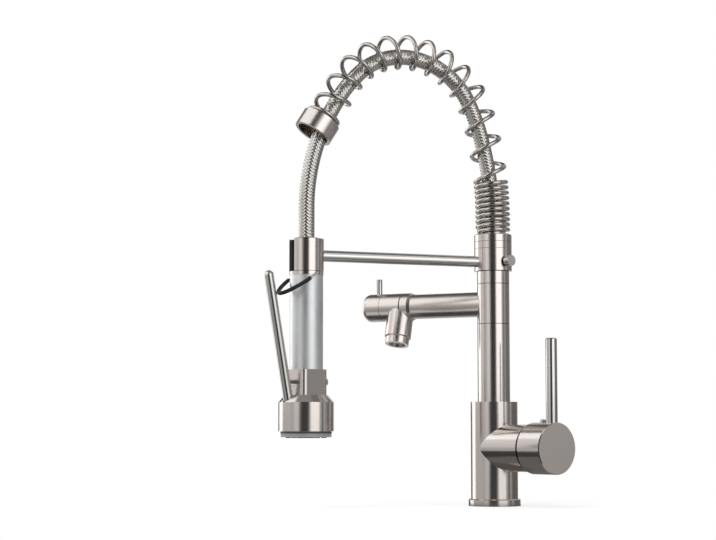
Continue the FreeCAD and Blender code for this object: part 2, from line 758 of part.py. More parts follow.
def arch_apex():
    """Reach of the arch's top from the column axis."""
    start = math.radians(ARCH_START_DEG)
    return ARCH_START_R * (1 - math.cos(start)) + ARCH_RISE_R * math.cos(start)


def arch_fall_r():
    """Radius of the arch's fall, which brings its end in over the dock."""
    fall = math.radians(ARCH_FALL_DEG)
    reach = DOCK_REACH - FERRULE_BACK - arch_apex() - ARCH_TAIL * math.cos(fall)
    return reach / math.sin(fall)


def arch_line():
    """Lengths and curvatures of the spring's centre line, from the seat up and over."""
    rise = QUARTER - ARCH_START_DEG
    fall_r = arch_fall_r()
    return [
        (ARCH_STRAIGHT, 0.0),
        (ARCH_START_R * math.radians(ARCH_START_DEG), 1 / ARCH_START_R),
        (ARCH_RISE_R * math.radians(rise), 1 / ARCH_RISE_R),
        (fall_r * math.radians(ARCH_FALL_DEG), 1 / fall_r),
        (ARCH_TAIL, 0.0),
    ]


def arch_length():
    """Length of the spring's centre line."""
    return sum(length for length, curvature in arch_line())


def arch_at(distance):
    """Point on the spring's centre line and its heading in radians from straight up."""
    at = Vector(0, 0, seat_high)
    heading = 0.0
    pieces = arch_line()
    for index, (length, curvature) in enumerate(pieces):
        step = distance if index == len(pieces) - 1 else min(distance, length)
        turn = step * curvature
        if curvature:
            at = at + Vector(
                math.cos(heading) - math.cos(heading + turn), 0, math.sin(heading + turn) - math.sin(heading)
            ) * (1 / curvature)
        else:
            at = at + Vector(math.sin(heading), 0, math.cos(heading)) * step
        heading += turn
        distance -= step
        if distance <= 0:
            break
    return at, heading


def coil_point(turns):
    """Point on the arch spring's wire after a number of turns."""
    low = SPRING_REST + WIRE_R
    close = low + CLOSE_TURNS * CLOSE_PITCH
    end = arch_length() - FERRULE_L + FERRULE_SOCKET - WIRE_R - SPRING_REST
    last_open = end - END_TURNS * END_PITCH
    if turns <= CLOSE_TURNS:
        distance = low + turns * CLOSE_PITCH
    elif turns <= CLOSE_TURNS + OPEN_TURNS:
        share = (turns - CLOSE_TURNS) / OPEN_TURNS
        widening = PITCH_EASE + PITCH_SWELL * (1 - 2 * share)
        eased = share + widening * share * (1 - share)
        distance = close + eased * (last_open - close)
    else:
        distance = last_open + (turns - CLOSE_TURNS - OPEN_TURNS) * END_PITCH
    at, heading = arch_at(distance)
    inward = Vector(math.cos(heading), 0, -math.sin(heading))
    angle = math.radians(COIL_PHASE) + 2 * math.pi * turns
    return at + inward * (COIL_R * math.cos(angle)) + Y_AXIS * (COIL_R * math.sin(angle))


def make_spring():
    """Arch spring, one unbroken wire, and the ferrule that holds its last turn."""
    quarters = 4 * (CLOSE_TURNS + OPEN_TURNS + END_TURNS)
    path = smooth_path(coil_point, [index / 4 for index in range(quarters + 1)])
    save("arch_spring", in_arm(sweep(path, WIRE_R)))
    fine = 24
    points = [coil_point(index / fine) for index in range(quarters * fine // 4 + 1)]
    print("arch spring least gap to itself %.2f mm" % least_gap(points, fine // 2, 2 * WIRE_R))


def make_ferrule(hose_room):
    """Ring at the end of the spring, open below, with a web under the spring and a hole for the hose."""
    socket_r = COIL_R + WIRE_R + SPRING_REST
    end, heading = arch_at(arch_length())
    back = Vector(-math.sin(heading), 0, -math.cos(heading))
    ring = tube(FERRULE_R, 0, FERRULE_L).cut(tube(FERRULE_R - FERRULE_WALL, 0, FERRULE_RECESS))
    ring = ring.cut(tube(socket_r, FERRULE_L - FERRULE_SOCKET, FERRULE_L))
    save("spring_ferrule", in_arm(aim(ring, end, back).cut(hose_room)))


def hose_routes():
    """Routes of the hose over the arch and down to the sprayer."""
    start_high = seat_high + ARCH_STRAIGHT
    start_deg = math.radians(ARCH_START_DEG)
    centre = arch_apex()
    rise_level = start_high + (ARCH_START_R - ARCH_RISE_R) * math.sin(start_deg)
    lean = math.radians(HOSE_LEAN_DEG)
    rise_r = ARCH_RISE_R - HOSE_OFFSET
    fall_r = arch_fall_r() - HOSE_OFFSET
    lean_r = (centre - rise_r * math.cos(lean)) / (1 - math.cos(lean))
    lean_low = rise_level + (rise_r - lean_r) * math.sin(lean)
    fall = math.sin(math.radians(HOSE_FALL_DEG))
    drop_r = (DOCK_REACH - centre - fall_r * fall) / (1 - fall)
    arch = Route(0, ring_high, 0).run(lean_low - ring_high).bend(lean_r, HOSE_LEAN_DEG)
    arch.bend(rise_r, QUARTER - HOSE_LEAN_DEG).bend(fall_r, HOSE_FALL_DEG)
    arch.bend(drop_r, HOSE_SPLIT_DEG - HOSE_FALL_DEG)
    drop = Route(arch.at.x, arch.at.z, arch.heading).bend(drop_r, QUARTER - HOSE_SPLIT_DEG)
    drop.run(drop.at.z - (neck_high - OUTLET_SOCKET))
    radii = (lean_r, rise_r, fall_r, drop_r)
    print("hose bend radii " + ", ".join("%.0f" % radius for radius in radii))
    return arch.wire(), drop.wire()


def make_hoses():
    """Hose through the spring and its free drop to the sprayer."""
    arch, drop = hose_routes()
    for name, route in (("arch_hose", arch), ("hose_drop", drop)):
        hose = sweep(route, HOSE_R).cut(sweep(route, HOSE_BORE))
        section = math.pi * (HOSE_R ** 2 - HOSE_BORE ** 2)
        ratio = hose.Volume / (section * route.Length)
        print("%s %.0f mm long, volume ratio %.4f" % (name, route.Length, ratio))
        save(name, in_arm(hose))
    make_ferrule(sweep(arch, HOSE_R + HOSE_GAP))


def at_sprayer(shape):
    """Carry a shape from the sprayer's own axis to the dock."""
    angle = math.radians(ARM_ANGLE)
    return shift(shape, DOCK_REACH * math.cos(angle), DOCK_REACH * math.sin(angle), 0)


def make_neck():
    """Hose end fitting, docking neck, neck ring and grip with its water tube."""
    fitting_low = neck_high - OUTLET_FITTING_L
    socket_low = neck_high - OUTLET_SOCKET
    fitting_r = HOSE_R + FIT + CRIMP_WALL - RUN
    save("hose_outlet_fitting", at_sprayer(lathe([
        (FITTING_BORE, fitting_low), (fitting_r, fitting_low), (fitting_r, neck_high - FACE),
        (HOSE_R + FIT, neck_high - FACE), (HOSE_R + FIT, socket_low), (FITTING_BORE, socket_low),
    ])))
    tube_high = neck_low + TUBE_GRIP
    neck = tube(neck_r, neck_low, neck_high, WATER_TUBE_BORE)
    neck = neck.cut(tube(fitting_r + RUN, fitting_low - FACE, neck_high))
    neck = neck.cut(tube(WATER_TUBE_R + FIT, neck_low, tube_high))
    save("sprayer_neck", at_sprayer(neck))
    ring = tube(NECK_RING_R, grip_high, neck_ring_high, neck_r + FIT)
    pin_reach = bail_half + BAIL_WIRE_R
    ring = ring.cut(rod(BAIL_WIRE_R + RUN, Vector(-pin_reach, 0, bail_z), Vector(pin_reach, 0, bail_z)))
    save("neck_ring", at_sprayer(ring))
    save("grip_sleeve", at_sprayer(tube(GRIP_R, grip_low, grip_high, grip_bore)))
    tube_low = grip_low - TUBE_GRIP
    save("sprayer_water_tube", at_sprayer(tube(WATER_TUBE_R, tube_low, tube_high, WATER_TUBE_BORE)))


def make_valve_block():
    """Square valve block with its gland, plunger, spring and screw."""
    half = BLOCK_W / 2
    block = Part.makeBox(BLOCK_W, BLOCK_W, BLOCK_H, Vector(-half, -half, block_low))
    upright = [edge for edge in block.Edges if abs(edge.tangentAt(edge.FirstParameter).z) > 0.5]
    block = block.makeFillet(BLOCK_ROUND, upright)
    block = block.fuse(tube(grip_bore - FIT, grip_low, grip_low + BLOCK_SPIGOT)).removeSplitter()
    tube_low = grip_low - TUBE_GRIP
    block = block.cut(tube(WATER_TUBE_R + FIT, tube_low, grip_low + BLOCK_SPIGOT))
    block = block.cut(tube(BLOCK_PORT_R, block_low, tube_low))
    front = Vector(0, -half, valve_z)
    inward = Vector(0, 1, 0)
    block = block.cut(rod(CHAMBER_BORE, front, front + inward * CHAMBER_DEPTH))
    screw_face = Vector(SCREW_SIDE, half, valve_z)
    block = block.cut(rod(SCREW_SHANK_R + FIT, screw_face, screw_face - inward * SCREW_SHANK_L))
    save("valve_block", at_sprayer(block))

    screw = rod(SCREW_R, screw_face, screw_face + inward * SCREW_PROUD)
    screw = screw.fuse(rod(SCREW_SHANK_R, screw_face, screw_face - inward * SCREW_SHANK_L)).removeSplitter()
    save("block_screw", at_sprayer(screw))

    gland = tube(CHAMBER_BORE - FIT, 0, GLAND_L, PLUNGER_R + RUN)
    save("valve_gland", at_sprayer(aim(gland, front, inward)))

    lever_y = trigger_axis_y(valve_z) + TRIGGER_R / math.cos(math.radians(TRIGGER_LEAN)) + AIR
    tip = lever_y - front.y
    head_low_y = GLAND_L + AIR
    plunger = aim(lathe([
        (0, tip), (PLUNGER_R, tip), (PLUNGER_R, head_low_y), (PLUNGER_HEAD_R, head_low_y),
        (PLUNGER_HEAD_R, head_low_y + PLUNGER_HEAD_T), (0, head_low_y + PLUNGER_HEAD_T),
    ]), front, inward)
    save("valve_plunger", at_sprayer(plunger))

    spring_low = head_low_y + PLUNGER_HEAD_T + AIR + VALVE_WIRE_R
    spring_high = CHAMBER_DEPTH - AIR - VALVE_WIRE_R
    pitch = (spring_high - spring_low) / VALVE_TURNS

    def valve_coil(turns):
        angle = 2 * math.pi * turns
        across = VALVE_COIL_R * math.cos(angle)
        return Vector(across, VALVE_COIL_R * math.sin(angle), spring_low + turns * pitch)

    coil = sweep(smooth_path(valve_coil, [index / 4 for index in range(4 * VALVE_TURNS + 1)]), VALVE_WIRE_R)
    save("valve_spring", at_sprayer(aim(coil, front, inward)))


def make_head():
    """Spray head with its face plate and rubber jets."""
    roof = block_low - HEAD_ROOF
    shoulder = block_low - HEAD_SHOULDER
    shell = lathe([
        (0, head_low), (HEAD_R, head_low), (HEAD_R, shoulder), (HEAD_TOP_R, block_low), (0, block_low),
    ])
    shell = shell.cut(tube(HEAD_R - HEAD_WALL, head_low, roof)).cut(tube(BLOCK_PORT_R, roof, block_low))
    foot = trigger_foot()
    room = TRIGGER_R + 2 * AIR
    shell = shell.cut(Part.makeSphere(room, foot)).cut(rod(room, foot, foot + trigger_way() * HEAD_ROOF))
    pin_half = TRIGGER_R + 2 * AIR + TRIGGER_R
    across = Vector(pin_half, 0, 0)
    shell = shell.cut(rod(TRIGGER_PIN_R + FIT, foot - across, foot + across))
    save("spray_head_shell", at_sprayer(shell))
    save("trigger_pivot_pin", at_sprayer(rod(TRIGGER_PIN_R, foot - across, foot + across)))

    insert_r = HEAD_R - HEAD_WALL - FIT
    face_low = head_low - FACE_PROUD
    face = lathe([
        (0, face_low), (FACE_R, face_low), (FACE_R, head_low), (insert_r, head_low),
        (insert_r, head_low + FACE_INSERT), (insert_r - HEAD_WALL, head_low + FACE_INSERT),
        (insert_r - HEAD_WALL, face_low + FACE_T), (0, face_low + FACE_T),
    ])
    jets = []
    for step in range(JET_RING_COUNT):
        ring = JET_FIRST + step * JET_STEP
        count = FIRST_JETS * (step + 1)
        for index in range(count):
            angle = 2 * math.pi * index / count
            x = ring * math.cos(angle)
            y = ring * math.sin(angle)
            face = face.cut(shift(tube(JET_R + FIT, face_low, face_low + FACE_T), x, y, 0))
            jets.append(shift(tube(JET_R, face_low - JET_PROUD, face_low + FACE_T, JET_R / 2), x, y, 0))
    save("spray_face", at_sprayer(face))
    save("spray_jets", at_sprayer(Part.makeCompound(jets)))


def trigger_foot():
    """Pivot point of the trigger in the sprayer's own axes."""
    return Vector(0, -TRIGGER_FOOT_R, block_low - TRIGGER_FOOT_DROP)


def trigger_way():
    """Unit vector up the trigger."""
    lean = math.radians(TRIGGER_LEAN)
    return Vector(0, -math.sin(lean), math.cos(lean))


def trigger_axis_y(level):
    """Y of the trigger's axis at a height."""
    foot = trigger_foot()
    return foot.y - (level - foot.z) * math.tan(math.radians(TRIGGER_LEAN))


def make_trigger():
    """Rod trigger with a rounded foot on its pin and a domed top."""
    foot = trigger_foot()
    top = foot + trigger_way() * TRIGGER_L
    ends = [Part.makeSphere(TRIGGER_R, foot), Part.makeSphere(TRIGGER_R, top)]
    lever = rod(TRIGGER_R, foot, top).fuse(ends).removeSplitter()
    across = Vector(TRIGGER_R, 0, 0)
    lever = lever.cut(rod(TRIGGER_PIN_R + RUN, foot - across, foot + across))
    save("trigger_lever", at_sprayer(lever))


def bail_point(degrees):
    """Point on the bail's loop, from one side of the neck ring round the tip to the other."""
    angle = math.radians(degrees)
    hang = math.radians(BAIL_HANG)
    out = BAIL_L * math.sin(angle)
    return Vector(bail_half * math.cos(angle), -out * math.cos(hang), bail_z - out * math.sin(hang))


def make_bail():
    """Wire bail hung in the neck ring, with a rubber sleeve round its loop."""
    steps = 8
    half_turn = 2 * QUARTER
    whole = [half_turn * index / steps for index in range(steps + 1)]
    wire = sweep(smooth_path(bail_point, whole), BAIL_WIRE_R)
    for side in (-1, 1):
        corner = Vector(side * bail_half, 0, bail_z)
        pin = rod(BAIL_WIRE_R, corner, corner - Vector(side * BAIL_PIN_L, 0, 0))
        wire = wire.fuse([pin, Part.makeSphere(BAIL_WIRE_R, corner)])
    save("bail_wire", at_sprayer(wire.removeSplitter()))
    covered = half_turn - 2 * BAIL_BARE_DEG
    stops = [BAIL_BARE_DEG + covered * index / steps for index in range(steps + 1)]
    path = smooth_path(bail_point, stops)
    save("bail_sleeve", at_sprayer(sweep(path, BAIL_SLEEVE_R).cut(sweep(path, BAIL_WIRE_R + FIT))))


def main():
    """Build every piece."""
    os.makedirs("parts", exist_ok=True)
    make_base()
    make_body()
    make_cartridge()
    make_handle()
    make_column()
    make_spout()
    make_spout_knob()
    make_arm()
    make_spring()
    make_hoses()
    make_neck()
    make_valve_block()
    make_head()
    make_trigger()
    make_bail()


main()
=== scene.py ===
"""Looks of a spring-arch kitchen faucet with a pull-down sprayer and a pot-filler spout."""

import logging
import math
from dataclasses import dataclass
from enum import Enum
from typing import ClassVar

import bmesh
import bpy
import numpy as np
from mathutils import Matrix, Vector

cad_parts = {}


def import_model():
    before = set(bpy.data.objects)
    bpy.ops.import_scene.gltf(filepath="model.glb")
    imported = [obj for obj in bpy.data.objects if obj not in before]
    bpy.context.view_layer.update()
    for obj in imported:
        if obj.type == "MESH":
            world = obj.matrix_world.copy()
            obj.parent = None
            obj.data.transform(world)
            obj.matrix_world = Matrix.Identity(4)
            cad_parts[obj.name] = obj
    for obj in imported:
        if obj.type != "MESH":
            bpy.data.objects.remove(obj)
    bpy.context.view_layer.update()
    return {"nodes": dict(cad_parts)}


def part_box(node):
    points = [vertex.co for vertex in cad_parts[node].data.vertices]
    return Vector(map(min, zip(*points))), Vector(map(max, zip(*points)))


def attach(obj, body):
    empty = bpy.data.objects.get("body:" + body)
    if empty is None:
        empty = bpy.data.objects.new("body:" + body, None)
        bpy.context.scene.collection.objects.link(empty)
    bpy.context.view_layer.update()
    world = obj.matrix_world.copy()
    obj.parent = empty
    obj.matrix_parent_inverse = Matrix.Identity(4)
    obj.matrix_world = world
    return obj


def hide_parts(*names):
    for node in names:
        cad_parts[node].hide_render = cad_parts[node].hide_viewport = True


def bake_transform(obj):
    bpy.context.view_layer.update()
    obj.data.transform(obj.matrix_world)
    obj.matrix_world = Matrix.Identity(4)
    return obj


LOG = logging.getLogger("faucet")
MM = 0.001

# Where the arm and the spout point at rest, and where the camera stands, turned from the part's x axis.
ARM_ANGLE = math.radians(252.4)
SPOUT_ANGLE = math.radians(203.0)
CAMERA_ANGLE = math.radians(-43.0)


def linear(hex_colour: str) -> tuple[float, float, float, float]:
    """Turn an sRGB hex colour to linear light.

    Args:
        hex_colour: Colour as "#rrggbb".

    Returns:
        Linear red, green, blue and an alpha of 1.
    """
    parts = [int(hex_colour[place : place + 2], 16) / 255 for place in (1, 3, 5)]
    red, green, blue = [c / 12.92 if c <= 0.04045 else ((c + 0.055) / 1.055) ** 2.4 for c in parts]
    return red, green, blue, 1.0


def add_node(
    tree: bpy.types.NodeTree, kind: str, settings: dict[str, object] | None = None, **inputs: object
) -> bpy.types.Node:
    """Add a shader node with its settings, values and links.

    Args:
        tree: Node tree that takes the node.
        kind: Blender's name of the node type.
        settings: Properties to set on the node.
        inputs: Value or output socket for each input, with spaces in its name as underscores.

    Returns:
        The new node.
    """
    node = tree.nodes.new(kind)
    for name, value in (settings or {}).items():
        setattr(node, name, value)
    for name, value in inputs.items():
        socket = node.inputs[name.replace("_", " ")]
        if isinstance(value, bpy.types.NodeSocket):
            tree.links.new(value, socket)
        else:
            socket.default_value = value
    return node


def in_arm_plane(reach: float, height: float, aside: float = 0.0) -> Vector:
    """Point of the dock arm's upright plane, in metres.

    Args:
        reach: Distance from the column axis in millimetres.
        height: Height over the deck in millimetres.
        aside: Distance out of the plane in millimetres.

    Returns:
        The point in the part's frame.
    """
    along, across = math.cos(ARM_ANGLE), math.sin(ARM_ANGLE)
    return Vector((reach * along - aside * across, reach * across + aside * along, height)) * MM


def closed(work: bmesh.types.BMesh, name: str) -> bpy.types.Mesh:
    """Turn finished mesh work to a mesh.

    Args:
        work: Mesh work, freed here.
        name: Name of the mesh.

    Returns:
        The new mesh.
    """
    mesh = bpy.data.meshes.new(name)
    work.to_mesh(mesh)
    work.free()
    return mesh


def mesh_object(
    name: str, mesh: bpy.types.Mesh, *materials: bpy.types.Material, smooth: bool = True
) -> bpy.types.Object:
    """Put a mesh into the scene with its materials and shading.

    Args:
        name: Name of the piece.
        mesh: Finished mesh.
        materials: Finish of each of its material numbers.
        smooth: Whether the faces run into each other without edges.

    Returns:
        The new object.
    """
    for material in materials:
        mesh.materials.append(material)
    if smooth:
        mesh.shade_smooth()
    piece = bpy.data.objects.new(name, mesh)
    bpy.context.scene.collection.objects.link(piece)
    return piece


def skin(rings: list[list[Vector]] | np.ndarray, work: bmesh.types.BMesh, material: int = 0) -> None:
    """Join rings of points by faces and close both ends.

    Args:
        rings: Rings with the same number of points each.
        work: Mesh that takes the faces.
        material: Number of the finish on the faces.
    """
    made = [[work.verts.new(point) for point in ring] for ring in rings]
    count = len(made[0])
    faces = [work.faces.new(made[0][::-1]), work.faces.new(made[-1])]
    for one, two in zip(made, made[1:]):
        for index in range(count):
            after = (index + 1) % count
            faces.append(work.faces.new((one[index], one[after], two[after], two[index])))
    for face in faces:
        face.material_index = material


def wire(name: str, points: list[Vector], radius: float, sides: int) -> bpy.types.Mesh:
    """Sweep a round wire along a row of points.

    Args:
        name: Name of the mesh.
        points: Centre of the wire, in metres.
        radius: Radius of the wire in millimetres.
        sides: Number of flats round it.

    Returns:
        The closed mesh.
    """
    rings = []
    last = len(points) - 1
    side = Vector((1, 0, 0))
    for index, point in enumerate(points):
        way = (points[min(index + 1, last)] - points[max(index - 1, 0)]).normalized()
        side = (side - way * side.dot(way)).normalized()
        up = way.cross(side)
        ring = []
        for corner in range(sides):
            angle = 2 * math.pi * corner / sides
            ring.append(point + (side * math.cos(angle) + up * math.sin(angle)) * radius * MM)
        rings.append(ring)
    work = bmesh.new()
    skin(rings, work)
    return closed(work, name)


def turned(name: str, profile: list[Vector], axis: Vector, foot: Vector, sides: int) -> bpy.types.Mesh:
    """Turn a closed profile round an axis.

    Args:
        name: Name of the mesh.
        profile: Corners of the profile on one side of the axis, in metres.
        axis: Direction of the axis.
        foot: Point on the axis, in metres.
        sides: Number of flats round it.

    Returns:
        The closed mesh.
    """
    work = bmesh.new()
    rings = []
    for side in range(sides):
        turn = Matrix.Rotation(2 * math.pi * side / sides, 3, axis)
        rings.append([work.verts.new(foot + turn @ (corner - foot)) for corner in profile])
    for one, two in zip(rings, rings[1:] + rings[:1]):
        for index in range(len(profile)):
            work.faces.new((one[index - 1], one[index], two[index], two[index - 1]))
    bmesh.ops.recalc_face_normals(work, faces=work.faces)
    return closed(work, name)


class Axis(Enum):
    """Turned axis of a piece, as the turn that brings it upright."""

    UPRIGHT = (0.0, 0.0, 0.0)
    HANDLE = (0.0, -math.pi / 2, 0.0)
    SPOUT = (0.0, -math.pi / 2, -SPOUT_ANGLE)


@dataclass(frozen=True)
class Finish:
    """Finish of a surface, whose colour and roughness vary a little along a pattern."""

    name: str
    colour: str
    roughness: float
    spread: float = 0.04
    dip: float = 0.93
    pattern_low: ClassVar[float] = 0.3
    pattern_high: ClassVar[float] = 0.7

    @property
    def label(self) -> str:
        """Name of the material."""
        return self.name

    def material(self) -> bpy.types.Material:
        """Make the material once and hand it out again.

        Returns:
            The material.
        """
        found = bpy.data.materials.get(self.label)
        if found:
            return found
        made = bpy.data.materials.new(self.label)
        made.use_nodes = True
        self.fill(made.node_tree, made.node_tree.nodes["Principled BSDF"])
        return made

    def fill(self, tree: bpy.types.NodeTree, shader: bpy.types.Node) -> None:
        """Set up the nodes, which each kind of finish does its own way.

        Args:
            tree: Node tree of the material.
            shader: Its surface shader.
        """
        raise NotImplementedError

    def mottle(
        self, tree: bpy.types.NodeTree, shader: bpy.types.Node, pattern: bpy.types.NodeSocket
    ) -> None:
        """Let colour and roughness follow a pattern.

        Args:
            tree: Node tree of the material.
            shader: Its surface shader.
            pattern: Output of the pattern, mostly between its low and high value.
        """
        rough = add_node(
            tree,
            "ShaderNodeMapRange",
            Value=pattern,
            From_Min=self.pattern_low,
            From_Max=self.pattern_high,
            To_Min=self.roughness - self.spread,
            To_Max=self.roughness + self.spread,
        )
        tint = add_node(tree, "ShaderNodeValToRGB", Fac=pattern)
        shade = linear(self.colour)
        dark, bright = tint.color_ramp.elements
        dark.position, bright.position = self.pattern_low, self.pattern_high
        dark.color = tuple(self.dip * part for part in shade[:3]) + (1.0,)
        bright.color = shade
        tree.links.new(tint.outputs["Color"], shader.inputs["Base Color"])
        tree.links.new(rough.outputs["Result"], shader.inputs["Roughness"])


@dataclass(frozen=True)
class BrushedMetal(Finish):
    """Metal brushed on a belt as it turns: fine lines run round it and spread highlights along it.

    The real lines are about 0.1 mm apart, too fine for the render, so they are drawn coarser.
    """

    spread: float = 0.03
    dip: float = 0.96
    axis: Axis = Axis.UPRIGHT
    line_mm: float = 0.45
    sweep_mm: float = 40.0
    depth_mm: float = 0.002
    bump: float = 0.15

    @property
    def label(self) -> str:
        """Name of the material, which differs by the axis of the lines."""
        return self.name + "_" + self.axis.name.lower()

    def fill(self, tree: bpy.types.NodeTree, shader: bpy.types.Node) -> None:
        """Set up lines that run round the axis.

        Args:
            tree: Node tree of the material.
            shader: Its surface shader.
        """
        shader.inputs["Metallic"].default_value = 1.0
        place = add_node(tree, "ShaderNodeTexCoord").outputs["Object"]
        upright = add_node(
            tree,
            "ShaderNodeVectorRotate",
            {"rotation_type": "EULER_XYZ"},
            Vector=place,
            Rotation=self.axis.value,
        )
        around, along = 1 / (self.sweep_mm * MM), 1 / (self.line_mm * MM)
        stretch = add_node(
            tree, "ShaderNodeMapping", Vector=upright.outputs[0], Scale=(around, around, along)
        )
        lines = add_node(
            tree,
            "ShaderNodeTexNoise",
            Vector=stretch.outputs[0],
            Scale=1.0,
            Detail=4.0,
            Roughness=0.65,
        )
        bump = add_node(
            tree,
            "ShaderNodeBump",
            Height=lines.outputs["Fac"],
            Strength=self.bump,
            Distance=self.depth_mm * MM,
        )
        self.mottle(tree, shader, lines.outputs["Fac"])
        tree.links.new(bump.outputs["Normal"], shader.inputs["Normal"])


@dataclass(frozen=True)
class SmoothSolid(Finish):
    """Solid with an even skin and a faint clouding, as moulding, polishing or firing leaves it."""

    metallic: float = 0.0
    cloud_mm: float = 6.0
    grain_mm: float = 0.25
    grain_depth_mm: float = 0.0
    bump: float = 0.5
    ior: float = 1.5

    def fill(self, tree: bpy.types.NodeTree, shader: bpy.types.Node) -> None:
        """Set up the clouding and, where there is one, the grain.

        Args:
            tree: Node tree of the material.
            shader: Its surface shader.
        """
        shader.inputs["Metallic"].default_value = self.metallic
        if self.metallic < 1:
            shader.inputs["IOR"].default_value = self.ior
        place = add_node(tree, "ShaderNodeTexCoord").outputs["Object"]
        cloud = add_node(
            tree, "ShaderNodeTexNoise", Vector=place, Scale=1 / (self.cloud_mm * MM), Detail=3.0
        )
        self.mottle(tree, shader, cloud.outputs["Fac"])
        if not self.grain_depth_mm:
            return
        grain = add_node(
            tree, "ShaderNodeTexNoise", Vector=place, Scale=1 / (self.grain_mm * MM), Detail=2.0
        )
        bump = add_node(
            tree,
            "ShaderNodeBump",
            Height=grain.outputs["Fac"],
            Strength=self.bump,
            Distance=self.grain_depth_mm * MM,
        )
        tree.links.new(bump.outputs["Normal"], shader.inputs["Normal"])


def brushed_nickel(axis: Axis = Axis.UPRIGHT) -> BrushedMetal:
    """Nickel plate on brass, brushed: warm grey with soft streaks.

    Args:
        axis: Axis that the lines run round.

    Returns:
        The finish.
    """
    return BrushedMetal("brushed_nickel", "#dbd3ce", 0.16, axis=axis)


def satin_nickel(axis: Axis = Axis.UPRIGHT) -> BrushedMetal:
    """Nickel plate brushed with a finer belt: the same grey, with reflections that run together.

    Args:
        axis: Axis that the lines run round.

    Returns:
        The finish.
    """
    return BrushedMetal("satin_nickel", "#dbd3ce", 0.25, spread=0.015, axis=axis, depth_mm=0.001)


# Polished nickel plate: clear reflections with hardly a haze.
POLISHED_NICKEL = SmoothSolid("polished_nickel", "#dfd7d1", 0.12, metallic=1.0, cloud_mm=9.0)
# Drawn spring steel, polished after coiling: bright lines along each turn, softened a little.
SPRING_STEEL = SmoothSolid("polished_spring_steel", "#cbc5c0", 0.16, metallic=1.0, cloud_mm=4.0)
# Blasted and anodised aluminium: a pale grey sheen with soft edges and no clear reflection.
GRIP_ALUMINIUM = SmoothSolid(
    "anodised_satin_aluminium",
    "#f4f5f6",
    0.46,
    metallic=1.0,
    cloud_mm=12.0,
    grain_mm=0.5,
    grain_depth_mm=0.01,
)
# Flat drawn stainless wire: each strand of the braid takes its own glint.
BRAID_STEEL = SmoothSolid("drawn_stainless_braid_wire", "#d2cec9", 0.24, metallic=1.0, cloud_mm=1.5)
# Extruded rubber under the braid: dull black between the strands.
HOSE_RUBBER = SmoothSolid("extruded_black_epdm_rubber", "#19191a", 0.6, ior=1.52)
# Turned brass: yellow with a soft shine.
BRASS = SmoothSolid("machined_brass", "#c9a566", 0.28, metallic=1.0, cloud_mm=3.0)
# Rolled or turned stainless steel: cool grey with a soft shine.
STAINLESS = SmoothSolid("rolled_stainless_steel", "#cfccc8", 0.3, metallic=1.0, cloud_mm=5.0)
# Moulded rubber: black and dull with a fine grain.
BLACK_RUBBER = SmoothSolid(
    "moulded_black_rubber", "#0f0f10", 0.55, grain_mm=0.4, grain_depth_mm=0.02, ior=1.52
)
# Dark grey and dull: painted shadow for the band under the spray head's rim.
PAINTED_SHADOW_GREY = SmoothSolid(
    "painted_shadow_grey", "#454546", 0.55, grain_mm=0.4, grain_depth_mm=0.02, ior=1.45
)
# Moulded acetal: black with a waxy shine.
BLACK_PLASTIC = SmoothSolid(
    "moulded_black_acetal", "#222224", 0.4, grain_mm=0.5, grain_depth_mm=0.01, ior=1.48
)
# Moulded ABS: plain grey with a low shine.
GREY_PLASTIC = SmoothSolid(
    "moulded_grey_abs", "#838384", 0.42, grain_mm=0.5, grain_depth_mm=0.01, ior=1.54
)
# Alumina lapped flat: off-white with a smooth glassy shine.
ALUMINA = SmoothSolid("lapped_alumina_ceramic", "#ece9e2", 0.25, cloud_mm=2.0, ior=1.76)


class SubAssembly:
    """Sub-assembly of the faucet: the finish of each solid piece, and the pieces it builds itself."""

    title: ClassVar[str]
    finishes: ClassVar[dict[str, Finish]]

    def dress(self, nodes: dict[str, bpy.types.Object]) -> None:
        """Give each solid piece its finish.

        Args:
            nodes: The part's pieces by name.
        """
        for name, finish in self.finishes.items():
            slots = nodes[name].data.materials
            slots.clear()
            slots.append(finish.material())
            LOG.info("%s: %s in %s", self.title, name, finish.name)

    def build(self) -> list[bpy.types.Object]:
        """Build the pieces that are more than a finish, none unless a sub-assembly has them.

        Returns:
            The new pieces.
        """
        return []


class DeckBase(SubAssembly):
    """Flange, body and shank with the cartridge that stays still."""

    title = "deck base"
    finishes = {
        "base_flange": brushed_nickel(),
        "base_gasket": BLACK_RUBBER,
        "mounting_shank": BRASS,
        "body_shell": brushed_nickel(),
        "cartridge_body": GREY_PLASTIC,
        "cartridge_port_seals": BLACK_RUBBER,
        "cartridge_fixed_disc": ALUMINA,
        "cartridge_nut": BRASS,
    }


class MixerHandle(SubAssembly):
    """Cap, lever and the cartridge pieces that move with them."""

    title = "mixer handle"
    finishes = {
        "cartridge_moving_disc": ALUMINA,
        "cartridge_turret": GREY_PLASTIC,
        "stem_pivot_pin": STAINLESS,
        "cartridge_stem": BRASS,
        "handle_cap": brushed_nickel(Axis.HANDLE),
        "handle_lever": POLISHED_NICKEL,
        "handle_set_screw": STAINLESS,
        "handle_plug": POLISHED_NICKEL,
    }


class Column(SubAssembly):
    """Upright tubes and the riser inside them."""

    title = "column"
    finishes = {
        "column_lower_tube": brushed_nickel(),
        "column_upper_tube": brushed_nickel(),
        "column_glide_rings": BLACK_PLASTIC,
        "riser_tube": BRASS,
        "riser_retaining_clip": STAINLESS,
    }


